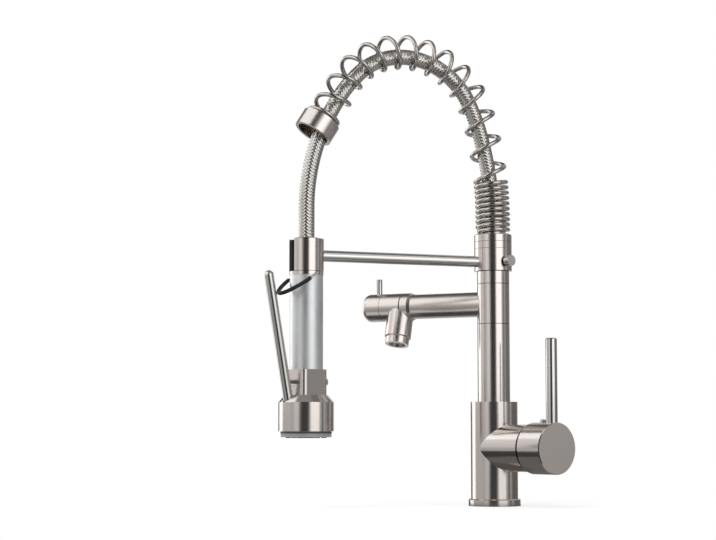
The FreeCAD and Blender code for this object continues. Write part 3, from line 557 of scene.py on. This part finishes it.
class PotFillerSpout(SubAssembly):
    """Swivelling spout with its knob and aerator."""

    title = "pot-filler spout"
    finishes = {
        "spout_hub": brushed_nickel(),
        "spout_hub_seals": BLACK_RUBBER,
        "spout_tube": satin_nickel(Axis.SPOUT),
        "spout_valve_body": satin_nickel(Axis.SPOUT),
        "spout_nozzle": satin_nickel(),
        "spout_aerator": satin_nickel(),
        "aerator_screen": STAINLESS,
        "spout_knob": satin_nickel(Axis.SPOUT),
        "spout_knob_pin": POLISHED_NICKEL,
        "spout_valve_stopper": BRASS,
    }


class DockArm(SubAssembly):
    """Collar, rod and the clip that holds the sprayer."""

    title = "dock arm"
    finishes = {
        "arm_collar": brushed_nickel(),
        "arm_lock_screw": POLISHED_NICKEL,
        "arm_rod": POLISHED_NICKEL,
        "dock_clip": brushed_nickel(),
        "dock_liner": BLACK_PLASTIC,
        "collar_ring": brushed_nickel(),
    }


class Sprayer(SubAssembly):
    """Spray head, grip, trigger and the bail that locks it."""

    title = "sprayer"
    finishes = {
        "sprayer_neck": BLACK_PLASTIC,
        "neck_ring": brushed_nickel(),
        "grip_sleeve": GRIP_ALUMINIUM,
        "sprayer_water_tube": GREY_PLASTIC,
        "valve_block": satin_nickel(),
        "block_screw": STAINLESS,
        "valve_gland": satin_nickel(),
        "valve_plunger": STAINLESS,
        "spray_head_shell": brushed_nickel(),
        "trigger_pivot_pin": STAINLESS,
        "spray_face": GREY_PLASTIC,
        "spray_jets": BLACK_RUBBER,
        "trigger_lever": POLISHED_NICKEL,
        "bail_wire": POLISHED_NICKEL,
        "bail_sleeve": BLACK_RUBBER,
    }


@dataclass
class ArchSpring(SubAssembly):
    """Spring that carries the hose: close turns on its seat, open turns over the arch. Millimetres."""

    title = "arch spring"
    finishes = {"spring_seat": brushed_nickel(), "spring_ferrule": satin_nickel()}

    wire_r: float = 2.15
    coil_r: float = 15.3
    close_turns: int = 10
    close_pitch: float = 5.2
    open_turns: int = 13
    end_turns: int = 1
    end_pitch: float = 5.0
    pitch_ease: float = 0.11
    pitch_swell: float = 0.24
    rest: float = 0.35
    seat_high: float = 270.0
    straight: float = 16.5
    start_r: float = 347.0
    start_deg: float = 17.2
    rise_r: float = 83.5
    fall_r: float = 75.1766
    fall_deg: float = 57.5
    tail: float = 62.0
    ferrule_l: float = 17.0
    ferrule_socket: float = 2.5
    phase_deg: float = 0.0
    steps_per_turn: int = 48
    sides: int = 14

    def line(self) -> list[tuple[float, float]]:
        """List the stretches of the centre line, from the seat up and over.

        Returns:
            Length and curvature of each stretch.
        """
        rise_deg = 90 - self.start_deg
        return [
            (self.straight, 0.0),
            (self.start_r * math.radians(self.start_deg), 1 / self.start_r),
            (self.rise_r * math.radians(rise_deg), 1 / self.rise_r),
            (self.fall_r * math.radians(self.fall_deg), 1 / self.fall_r),
            (self.tail, 0.0),
        ]

    def centre(self, distance: float) -> tuple[float, float, float]:
        """Find a place on the centre line.

        Args:
            distance: Length along the line from the seat.

        Returns:
            Reach, height and heading from straight up in radians.
        """
        reach, height, heading = 0.0, self.seat_high, 0.0
        for length, curvature in self.line():
            step = min(distance, length)
            turn = step * curvature
            if curvature:
                reach += (math.cos(heading) - math.cos(heading + turn)) / curvature
                height += (math.sin(heading + turn) - math.sin(heading)) / curvature
            else:
                reach += math.sin(heading) * step
                height += math.cos(heading) * step
            heading += turn
            distance -= step
        return reach, height, heading

    def wire_point(self, turns: float) -> Vector:
        """Find a place on the wire.

        Args:
            turns: Turns from the seat.

        Returns:
            The wire's centre in the part's frame.
        """
        low = self.rest + self.wire_r
        close = low + self.close_turns * self.close_pitch
        whole = sum(length for length, curvature in self.line())
        end = whole - self.ferrule_l + self.ferrule_socket - self.wire_r - self.rest
        last_open = end - self.end_turns * self.end_pitch
        opened = turns - self.close_turns
        if opened <= 0:
            distance = low + turns * self.close_pitch
        elif opened <= self.open_turns:
            share = opened / self.open_turns
            widening = self.pitch_ease + self.pitch_swell * (1 - 2 * share)
            eased = share + widening * share * (1 - share)
            distance = close + eased * (last_open - close)
        else:
            distance = last_open + (opened - self.open_turns) * self.end_pitch
        reach, height, heading = self.centre(distance)
        angle = math.radians(self.phase_deg) + 2 * math.pi * turns
        inward = self.coil_r * math.cos(angle)
        aside = self.coil_r * math.sin(angle)
        reach += inward * math.cos(heading)
        height -= inward * math.sin(heading)
        return in_arm_plane(reach, height, aside)

    def build(self) -> list[bpy.types.Object]:
        """Make the coiled wire as one mesh.

        Returns:
            The coil.
        """
        turns = self.close_turns + self.open_turns + self.end_turns
        count = turns * self.steps_per_turn
        points = [self.wire_point(index / self.steps_per_turn) for index in range(count + 1)]
        name = "arch_spring_coil"
        piece = mesh_object(name, wire(name, points, self.wire_r, self.sides), SPRING_STEEL.material())
        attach(piece, "arm")
        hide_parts("arch_spring")
        return [piece]


@dataclass
class ReturnSpring(SubAssembly):
    """Spring behind the valve plunger, which closes up as the plunger moves in; drawn as one fixed
    coil. Millimetres.
    """

    title = "return spring"
    finishes = {}

    wire_r: float = 0.35
    turns: int = 4
    steps_per_turn: int = 32
    sides: int = 8

    def build(self) -> list[bpy.types.Object]:
        """Make the coil between the block and the plunger's head.

        Returns:
            The coil.
        """
        low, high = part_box("valve_spring")
        middle = (low + high) / 2
        coil_r = (high.x - low.x) / 2 - self.wire_r * MM
        held, pushed = high.y - self.wire_r * MM, low.y + self.wire_r * MM
        count = self.turns * self.steps_per_turn
        points = []
        for index in range(count + 1):
            angle = 2 * math.pi * index / self.steps_per_turn
            along = held + (pushed - held) * index / count
            across, up = coil_r * math.cos(angle), coil_r * math.sin(angle)
            points.append(Vector((middle.x + across, along, middle.z + up)))
        name = "valve_return_coil"
        piece = mesh_object(name, wire(name, points, self.wire_r, self.sides), SPRING_STEEL.material())
        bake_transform(piece)
        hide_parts("valve_spring")
        return [piece]


@dataclass
class SeamShadeRing(SubAssembly):
    """Dark ring on the end of the housing, which closes the seam under the cap to the eye and paints
    the shade in it. Millimetres.

    Its spigot sits in the housing's bore and its flange on the housing's end.
    """

    title = "seam shade ring"
    finishes = {}

    inner_r: float = 13.5
    spigot_r: float = 17.3
    outer_r: float = 20.0
    spigot: float = 0.8
    flange: float = 1.8
    seam: float = 2.5
    lift: float = 0.02
    bevel: float = 0.4
    axis_height: float = 57.0
    sides: int = 72

    def build(self) -> list[bpy.types.Object]:
        """Turn the ring round the handle's axis, short of the cap's rim.

        Returns:
            The ring.
        """
        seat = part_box("handle_cap")[0].x / MM - self.seam + self.lift
        start, end = seat - self.spigot, seat + self.flange
        profile = (
            (start, self.inner_r),
            (start, self.spigot_r),
            (seat, self.spigot_r),
            (seat, self.outer_r),
            (end - self.bevel, self.outer_r),
            (end, self.outer_r - self.bevel),
            (end, self.inner_r),
        )
        corners = [Vector((along, 0, self.axis_height + out)) * MM for along, out in profile]
        foot = Vector((0, 0, self.axis_height)) * MM
        mesh = turned("cap_seam_shade_ring", corners, Vector((1, 0, 0)), foot, self.sides)
        # Black plastic here is painted shade: the seam under the cap shows dark as its shadow would.
        piece = mesh_object("cap_seam_shade_ring", mesh, BLACK_PLASTIC.material(), smooth=False)
        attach(piece, "base")
        return [piece]


@dataclass
class FaceShadowBand(SubAssembly):
    """Dark band round the spray face: painted shadow under the head's rim. Millimetres."""

    title = "face shadow band"
    finishes = {}

    inner_r: float = 24.22
    outer_r: float = 24.6
    width: float = 1.5
    gap: float = 0.5
    sides: int = 96

    def build(self) -> list[bpy.types.Object]:
        """Turn the band round the sprayer's axis, just under the head's shell.

        Returns:
            The band.
        """
        low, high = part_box("spray_head_shell")
        foot = Vector(((low.x + high.x) / 2, (low.y + high.y) / 2, low.z))
        top = -self.gap
        bottom = top - self.width
        profile = (
            (self.inner_r, bottom),
            (self.outer_r, bottom),
            (self.outer_r, top),
            (self.inner_r, top),
        )
        corners = [foot + Vector((out, 0, up)) * MM for out, up in profile]
        mesh = turned("spray_face_shadow_band", corners, Vector((0, 0, 1)), foot, self.sides)
        # The band's dark grey is painted shadow, standing in for the shade that the head's rim casts on
        # the face.
        piece = mesh_object("spray_face_shadow_band", mesh, PAINTED_SHADOW_GREY.material(), smooth=False)
        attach(piece, "sprayer")
        return [piece]


@dataclass
class BraidedHose(SubAssembly):
    """Hose through the spring and down to the sprayer, braided with flat strands of wire. Millimetres.

    The real strands are bundles of wire under 0.3 mm thick, too fine for the render, so they are
    drawn coarser.
    """

    title = "braided hose"
    finishes = {"hose_inlet_fitting": BRASS, "hose_outlet_fitting": BRASS}

    radius: float = 7.7
    core_r: float = 7.05
    strands: int = 12
    lay: float = 38.0
    strand_w: float = 2.0
    strand_t: float = 0.2
    weave: float = 0.19
    weave_steps: int = 4
    core_sides: int = 32
    route_steps: int = 48
    split_height: float = 352.2
    stretch_low: float = 256.0
    route: tuple[tuple[float, float], ...] = (
        (0.0, 262.3),
        (0.0, 308.2),
        (11.3, 366.4),
        (25.9, 402.6),
        (36.8, 417.8),
        (51.0, 430.0),
        (67.7, 438.6),
        (85.9, 443.0),
        (102.7, 443.0),
        (117.1, 439.9),
        (130.6, 433.9),
        (142.6, 425.3),
        (163.7, 401.8),
        (186.3, 359.2),
        (198.0, 312.4),
        (198.0, 263.9),
        (198.0, 239.5),
    )

    @property
    def step(self) -> float:
        """Length between rings of the mesh, an even share of one weave so that its pattern repeats."""
        return self.lay / self.strands / self.weave_steps

    def centre_line(self) -> np.ndarray:
        """Read evenly spaced points from a smooth spline on the route.

        Returns:
            Points in the part's frame, a step apart.
        """
        curve = bpy.data.curves.new("hose_route", "CURVE")
        curve.dimensions = "3D"
        curve.resolution_u = self.route_steps
        spline = curve.splines.new("NURBS")
        spline.points.add(len(self.route) - 1)
        for point, (reach, height) in zip(spline.points, self.route):
            point.co = (*in_arm_plane(reach, height), 1.0)
        spline.order_u = 3
        spline.use_endpoint_u = True
        holder = bpy.data.objects.new("hose_route", curve)
        bpy.context.scene.collection.objects.link(holder)
        bpy.context.view_layer.update()
        graph = bpy.context.evaluated_depsgraph_get()
        mesh = bpy.data.meshes.new_from_object(holder.evaluated_get(graph))
        points = np.array([vertex.co for vertex in mesh.vertices], float)
        bpy.data.objects.remove(holder)
        bpy.data.meshes.remove(mesh)
        gone = np.concatenate([[0.0], np.cumsum(np.linalg.norm(np.diff(points, axis=0), axis=1))])
        even = np.linspace(0.0, gone[-1], int(gone[-1] / (self.step * MM)) + 1)
        return np.stack([np.interp(even, gone, points[:, axis]) for axis in range(3)], axis=1)

    def tube(self, line: np.ndarray, start: float, name: str) -> bpy.types.Object:
        """Make one stretch of hose with its core and strands.

        Args:
            line: Points of the stretch, a step apart.
            start: Length of hose before the stretch, so that the braid runs on.
            name: Name of the piece.

        Returns:
            The new piece.
        """
        ways = np.gradient(line, axis=0)
        ways /= np.linalg.norm(ways, axis=1)[:, None]
        across = np.array(in_arm_plane(0, 0, 1) / MM)
        inward = np.cross(ways, across)
        gone = start + np.arange(len(line)) * self.step * MM
        work = bmesh.new()
        core = []
        for point, inside in zip(line, inward):
            ring = []
            for corner in range(self.core_sides):
                angle = 2 * math.pi * corner / self.core_sides
                out = inside * math.cos(angle) + across * math.sin(angle)
                ring.append(Vector(point + out * self.core_r * MM))
            core.append(ring)
        skin(core, work, material=1)
        half_w, half_t = self.strand_w / 2 * MM, self.strand_t / 2 * MM
        middle = self.radius * MM - half_t - self.weave * MM
        turn = 2 * math.pi / (self.lay * MM)
        for hand in (1, -1):
            lift = hand * self.weave * MM * np.cos(self.strands * turn * gone)
            for strand in range(self.strands):
                angle = 2 * math.pi * strand / self.strands + hand * turn * gone
                out = inward * np.cos(angle)[:, None] + across * np.sin(angle)[:, None]
                around = across * np.cos(angle)[:, None] - inward * np.sin(angle)[:, None]
                run = ways + around * (hand * turn * middle)
                run /= np.linalg.norm(run, axis=1)[:, None]
                wide = np.cross(out, run)
                top = line + out * (middle + half_t + lift)[:, None]
                drop = out * (half_w**2 / 2 / middle)
                left, right = top - wide * half_w - drop, top + wide * half_w - drop
                under = top - out * half_t * 2
                skin(np.stack((left, under, right, top), axis=1), work)
        return mesh_object(
            name, closed(work, name), BRAID_STEEL.material(), HOSE_RUBBER.material(), smooth=False
        )

    def build(self) -> list[bpy.types.Object]:
        """Make the stretch in the spring and the drop to the sprayer.

        Returns:
            Both pieces.
        """
        line = self.centre_line()
        top = int(np.argmax(line[:, 2]))
        split = top + int(np.argmax(line[top:, 2] < self.split_height * MM))
        arch = self.tube(line[: split + 1], 0.0, "braided_hose_arch")
        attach(arch, "arm")
        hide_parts("arch_hose")
        drop = self.tube(line[split:], split * self.step * MM, "braided_hose_drop")
        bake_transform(drop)
        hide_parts("hose_drop")
        return [arch, drop]


@dataclass(frozen=True)
class Band:
    """Ring of plain cards round the part, between two heights in degrees above the horizon.

    Each card is its left edge, in degrees right of the camera, and its brightness. It ends where the
    next starts.
    """

    name: str
    low: float
    high: float
    cards: tuple[tuple[float, float], ...]


@dataclass(frozen=True)
class Lamp:
    """Soft square lamp: degrees right of the camera, metres over the deck, metres a side, watts."""

    name: str
    angle_deg: float
    height: float
    size: float
    power: float


@dataclass
class Studio:
    """Pale floor, white surround, soft lamps, reflection cards and the camera.

    Metres, with the lens and sensor in millimetres.
    """

    distance: float = 1.8
    eye_height: float = 0.0747
    lens: float = 90.5
    sensor: float = 36.0
    yaw_deg: float = 4.31
    pitch_deg: float = 5.08
    surround_fill: float = 0.75
    lamp_reach: float = 1.4
    lamp_aim: float = 0.2
    lamps: tuple[Lamp, ...] = (
        Lamp("key_lamp", angle_deg=-40, height=1.8, size=1.0, power=22.0),
        Lamp("fill_lamp", angle_deg=45, height=1.4, size=1.2, power=12.0),
    )
    floor_half: float = 6.0
    floor_cells: int = 8
    floor_colour: str = "#f4f4f4"
    shadow_reach: float = 0.05
    shadow_white: float = 0.7
    white_reach: float = 0.3
    deck_card_r: float = 0.09
    deck_card_sides: int = 48
    deck_card_drop: float = 0.001
    deck_card_glow: float = 0.15
    dome_r: float = 3.0
    card_rows: int = 4
    card_step_deg: float = 6.0
    bands: tuple[Band, ...] = (
        Band("top", 62, 89, ((-180, 0.12), (-120, 0.3), (0, 0.3), (60, 0.2))),
        Band(
            "upper",
            32,
            62,
            ((-180, 0.1), (-120, 1.3), (-22, 0.05), (12, 0.8), (72, 0.2), (110, 0.5)),
        ),
        Band(
            "mid",
            13,
            32,
            (
                (-180, 0.6),
                (-160, 0.12),
                (-139, 1.7),
                (-103, 0.8),
                (-66, 1.25),
                (-30, 0.3),
                (-17, 0.05),
                (13, 0.4),
                (20, 1.7),
                (61, 0.5),
                (70, 0.2),
                (81, 0.48),
                (96, 0.2),
                (140, 0.4),
                (160, 0.7),
            ),
        ),
        Band(
            "level",
            3,
            13,
            (
                (-180, 0.6),
                (-160, 0.12),
                (-139, 1.7),
                (-103, 0.72),
                (-66, 0.58),
                (-47, 0.85),
                (-26, 0.3),
                (-17, 0.05),
                (13, 0.4),
                (20, 1.5),
                (61, 0.5),
                (70, 0.2),
                (81, 0.48),
                (90, 0.34),
                (96, 0.2),
                (140, 0.3),
                (160, 0.7),
            ),
        ),
        Band(
            "horizon",
            -8,
            3,
            (
                (-180, 0.6),
                (-160, 0.12),
                (-136, 1.5),
                (-106, 0.52),
                (-60, 0.5),
                (-46, 0.6),
                (-26, 0.2),
                (-20, 0.06),
                (13, 0.4),
                (20, 1.05),
                (58, 0.4),
                (70, 0.14),
                (81, 0.44),
                (90, 0.32),
                (96, 0.14),
                (140, 0.18),
                (160, 0.7),
            ),
        ),
        Band(
            "low",
            -28,
            -8,
            (
                (-180, 0.7),
                (-150, 0.3),
                (-120, 0.05),
                (-85, 0.35),
                (-22, 0.05),
                (13, 0.5),
                (68, 0.2),
                (100, 0.55),
                (140, 0.25),
            ),
        ),
        Band(
            "under",
            -48,
            -28,
            ((-180, 0.5), (-130, 0.22), (-85, 0.75), (-22, 0.04), (13, 0.15), (60, 0.45), (120, 0.3)),
        ),
        Band("deep", -89, -48, ((-180, 0.06), (-30, 0.4), (90, 0.25))),
    )

    def camera(self) -> None:
        """Set the camera where the photograph was taken from."""
        out = Vector((math.cos(CAMERA_ANGLE), math.sin(CAMERA_ANGLE), 0))
        right = Vector((-out.y, out.x, 0))
        yaw, pitch = math.radians(self.yaw_deg), math.radians(self.pitch_deg)
        ahead = -out * math.cos(yaw) - right * math.sin(yaw)
        ahead = ahead * math.cos(pitch) + Vector((0, 0, math.sin(pitch)))
        data = bpy.data.cameras.new("camera")
        data.lens = self.lens
        data.sensor_width = self.sensor
        camera = bpy.data.objects.new("camera", data)
        camera.location = out * self.distance + Vector((0, 0, self.eye_height))
        camera.rotation_euler = ahead.to_track_quat("-Z", "Y").to_euler()
        bpy.context.scene.collection.objects.link(camera)
        bpy.context.scene.camera = camera

    def surround(self) -> None:
        """Light from all round, and white where the camera, metal or glass looks at it."""
        world = bpy.data.worlds.new("white_surround")
        world.use_nodes = True
        bpy.context.scene.world = world
        tree = world.node_tree
        tree.nodes.clear()
        path = add_node(tree, "ShaderNodeLightPath")
        seen = self.seen(tree, path)
        fill = add_node(
            tree, "ShaderNodeBackground", Color=linear("#ffffff"), Strength=self.surround_fill
        )
        white = add_node(tree, "ShaderNodeBackground", Color=linear("#ffffff"), Strength=1.0)
        mix = add_node(tree, "ShaderNodeMixShader", Fac=seen)
        tree.links.new(fill.outputs[0], mix.inputs[1])
        tree.links.new(white.outputs[0], mix.inputs[2])
        add_node(tree, "ShaderNodeOutputWorld", Surface=mix.outputs[0])

    @staticmethod
    def seen(tree: bpy.types.NodeTree, path: bpy.types.Node) -> bpy.types.NodeSocket:
        """Add up the rays that look straight at the background.

        Args:
            tree: Node tree that takes the nodes.
            path: Its light path node.

        Returns:
            A socket that is 1 for camera, glossy and transmission rays.
        """
        first = add_node(tree, "ShaderNodeMath", {"operation": "MAXIMUM"})
        tree.links.new(path.outputs["Is Camera Ray"], first.inputs[0])
        tree.links.new(path.outputs["Is Glossy Ray"], first.inputs[1])
        both = add_node(tree, "ShaderNodeMath", {"operation": "MAXIMUM"})
        tree.links.new(first.outputs[0], both.inputs[0])
        tree.links.new(path.outputs["Is Transmission Ray"], both.inputs[1])
        return both.outputs[0]

    def floor(self) -> None:
        """Lay a pale floor that keeps a soft shadow near the part and runs out to white."""
        work = bmesh.new()
        bmesh.ops.create_grid(
            work, x_segments=self.floor_cells, y_segments=self.floor_cells, size=self.floor_half
        )
        made = bpy.data.materials.new("pale_floor")
        made.use_nodes = True
        tree = made.node_tree
        tree.nodes.clear()
        path = add_node(tree, "ShaderNodeLightPath")
        seen = self.seen(tree, path)
        place = add_node(tree, "ShaderNodeTexCoord").outputs["Object"]
        away = add_node(tree, "ShaderNodeVectorMath", {"operation": "LENGTH"}, Vector=place)
        fade = add_node(
            tree,
            "ShaderNodeMapRange",
            {"interpolation_type": "SMOOTHSTEP"},
            Value=away.outputs["Value"],
            From_Min=self.shadow_reach,
            From_Max=self.white_reach,
            To_Min=self.shadow_white,
            To_Max=1.0,
        )
        share = add_node(tree, "ShaderNodeMath", {"operation": "MULTIPLY"})
        tree.links.new(seen, share.inputs[0])
        tree.links.new(fade.outputs[0], share.inputs[1])
        matt = add_node(tree, "ShaderNodeBsdfDiffuse", Color=linear(self.floor_colour))
        white = add_node(tree, "ShaderNodeEmission", Color=linear("#ffffff"), Strength=1.0)
        mix = add_node(tree, "ShaderNodeMixShader", Fac=share.outputs[0])
        tree.links.new(matt.outputs[0], mix.inputs[1])
        tree.links.new(white.outputs[0], mix.inputs[2])
        add_node(tree, "ShaderNodeOutputMaterial", Surface=mix.outputs[0])
        floor = mesh_object("floor", closed(work, "floor"), made)
        floor.visible_glossy = False

    def hang(self, lamp: Lamp) -> None:
        """Hang one soft lamp that faces the part.

        Args:
            lamp: The lamp's place and light.
        """
        data = bpy.data.lights.new(lamp.name, "AREA")
        data.size = lamp.size
        data.energy = lamp.power
        piece = bpy.data.objects.new(lamp.name, data)
        angle = CAMERA_ANGLE + math.radians(lamp.angle_deg)
        flat = Vector((math.cos(angle), math.sin(angle), 0)) * self.lamp_reach
        piece.location = flat + Vector((0, 0, lamp.height))
        aim = Vector((0, 0, self.lamp_aim)) - piece.location
        piece.rotation_euler = aim.to_track_quat("-Z", "Y").to_euler()
        piece.visible_glossy = False
        bpy.context.scene.collection.objects.link(piece)

    def dome_point(self, angle_deg: float, rise_deg: float) -> Vector:
        """Point of the dome that the cards stand on.

        Args:
            angle_deg: Degrees right of the camera.
            rise_deg: Degrees above the horizon.

        Returns:
            The point in metres.
        """
        angle, rise = CAMERA_ANGLE + math.radians(angle_deg), math.radians(rise_deg)
        flat = math.cos(rise) * self.dome_r
        return Vector((math.cos(angle) * flat, math.sin(angle) * flat, math.sin(rise) * self.dome_r))

    def card(self, band: Band, left: float, right: float, glow: float) -> None:
        """Stand one plain card round the part, for the metal to reflect.

        Args:
            band: Ring that the card belongs to.
            left: Left edge in degrees right of the camera.
            right: Right edge in the same degrees.
            glow: Its brightness, 1 for white paper.
        """
        name = "card_%s_%+d" % (band.name, left)
        columns = max(2, int((right - left) / self.card_step_deg))
        work = bmesh.new()
        made = []
        for row in range(self.card_rows + 1):
            rise = band.low + (band.high - band.low) * row / self.card_rows
            turns = [left + (right - left) * step / columns for step in range(columns + 1)]
            made.append([work.verts.new(self.dome_point(turn, rise)) for turn in turns])
        for one, two in zip(made, made[1:]):
            for step in range(columns):
                work.faces.new((one[step], one[step + 1], two[step + 1], two[step]))
        self.glowing(name, work, glow)

    def deck_card(self) -> None:
        """Lay a card under the flange, so that metal does not mirror the shank below the deck."""
        work = bmesh.new()
        bmesh.ops.create_circle(
            work, cap_ends=True, segments=self.deck_card_sides, radius=self.deck_card_r
        )
        bmesh.ops.translate(work, verts=work.verts, vec=(0, 0, -self.deck_card_drop))
        self.glowing("card_deck", work, self.deck_card_glow)

    @staticmethod
    def glowing(name: str, work: bmesh.types.BMesh, glow: float) -> None:
        """Turn a mesh to a card that only reflections see.

        Args:
            name: Name of the card.
            work: Its mesh, freed here.
            glow: Its brightness, 1 for white paper.
        """
        paint = bpy.data.materials.new(name)
        paint.use_nodes = True
        tree = paint.node_tree
        tree.nodes.clear()
        light = add_node(tree, "ShaderNodeEmission", Color=linear("#ffffff"), Strength=glow)
        add_node(tree, "ShaderNodeOutputMaterial", Surface=light.outputs[0])
        piece = mesh_object(name, closed(work, name), paint)
        piece.visible_camera = False
        piece.visible_diffuse = False
        piece.visible_shadow = False
        piece.visible_transmission = False

    def build(self) -> None:
        """Set up the whole studio."""
        self.camera()
        self.surround()
        self.floor()
        self.deck_card()
        for lamp in self.lamps:
            self.hang(lamp)
        for band in self.bands:
            ends = [left for left, glow in band.cards[1:]] + [180]
            for (left, glow), right in zip(band.cards, ends):
                self.card(band, left, right, glow)
        bpy.context.scene.view_settings.view_transform = "Standard"


def main() -> None:
    """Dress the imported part, build the pieces that are more than a finish, and set the studio."""
    logging.basicConfig(level=logging.INFO, format="%(name)s %(message)s")
    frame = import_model()
    assemblies = (
        DeckBase(),
        SeamShadeRing(),
        MixerHandle(),
        Column(),
        PotFillerSpout(),
        DockArm(),
        ArchSpring(),
        BraidedHose(),
        Sprayer(),
        ReturnSpring(),
        FaceShadowBand(),
    )
    for assembly in assemblies:
        assembly.dress(frame["nodes"])
        for piece in assembly.build():
            LOG.info("%s: built %s with %d faces", assembly.title, piece.name, len(piece.data.polygons))
    Studio().build()


if __name__ == "__main__":
    main()
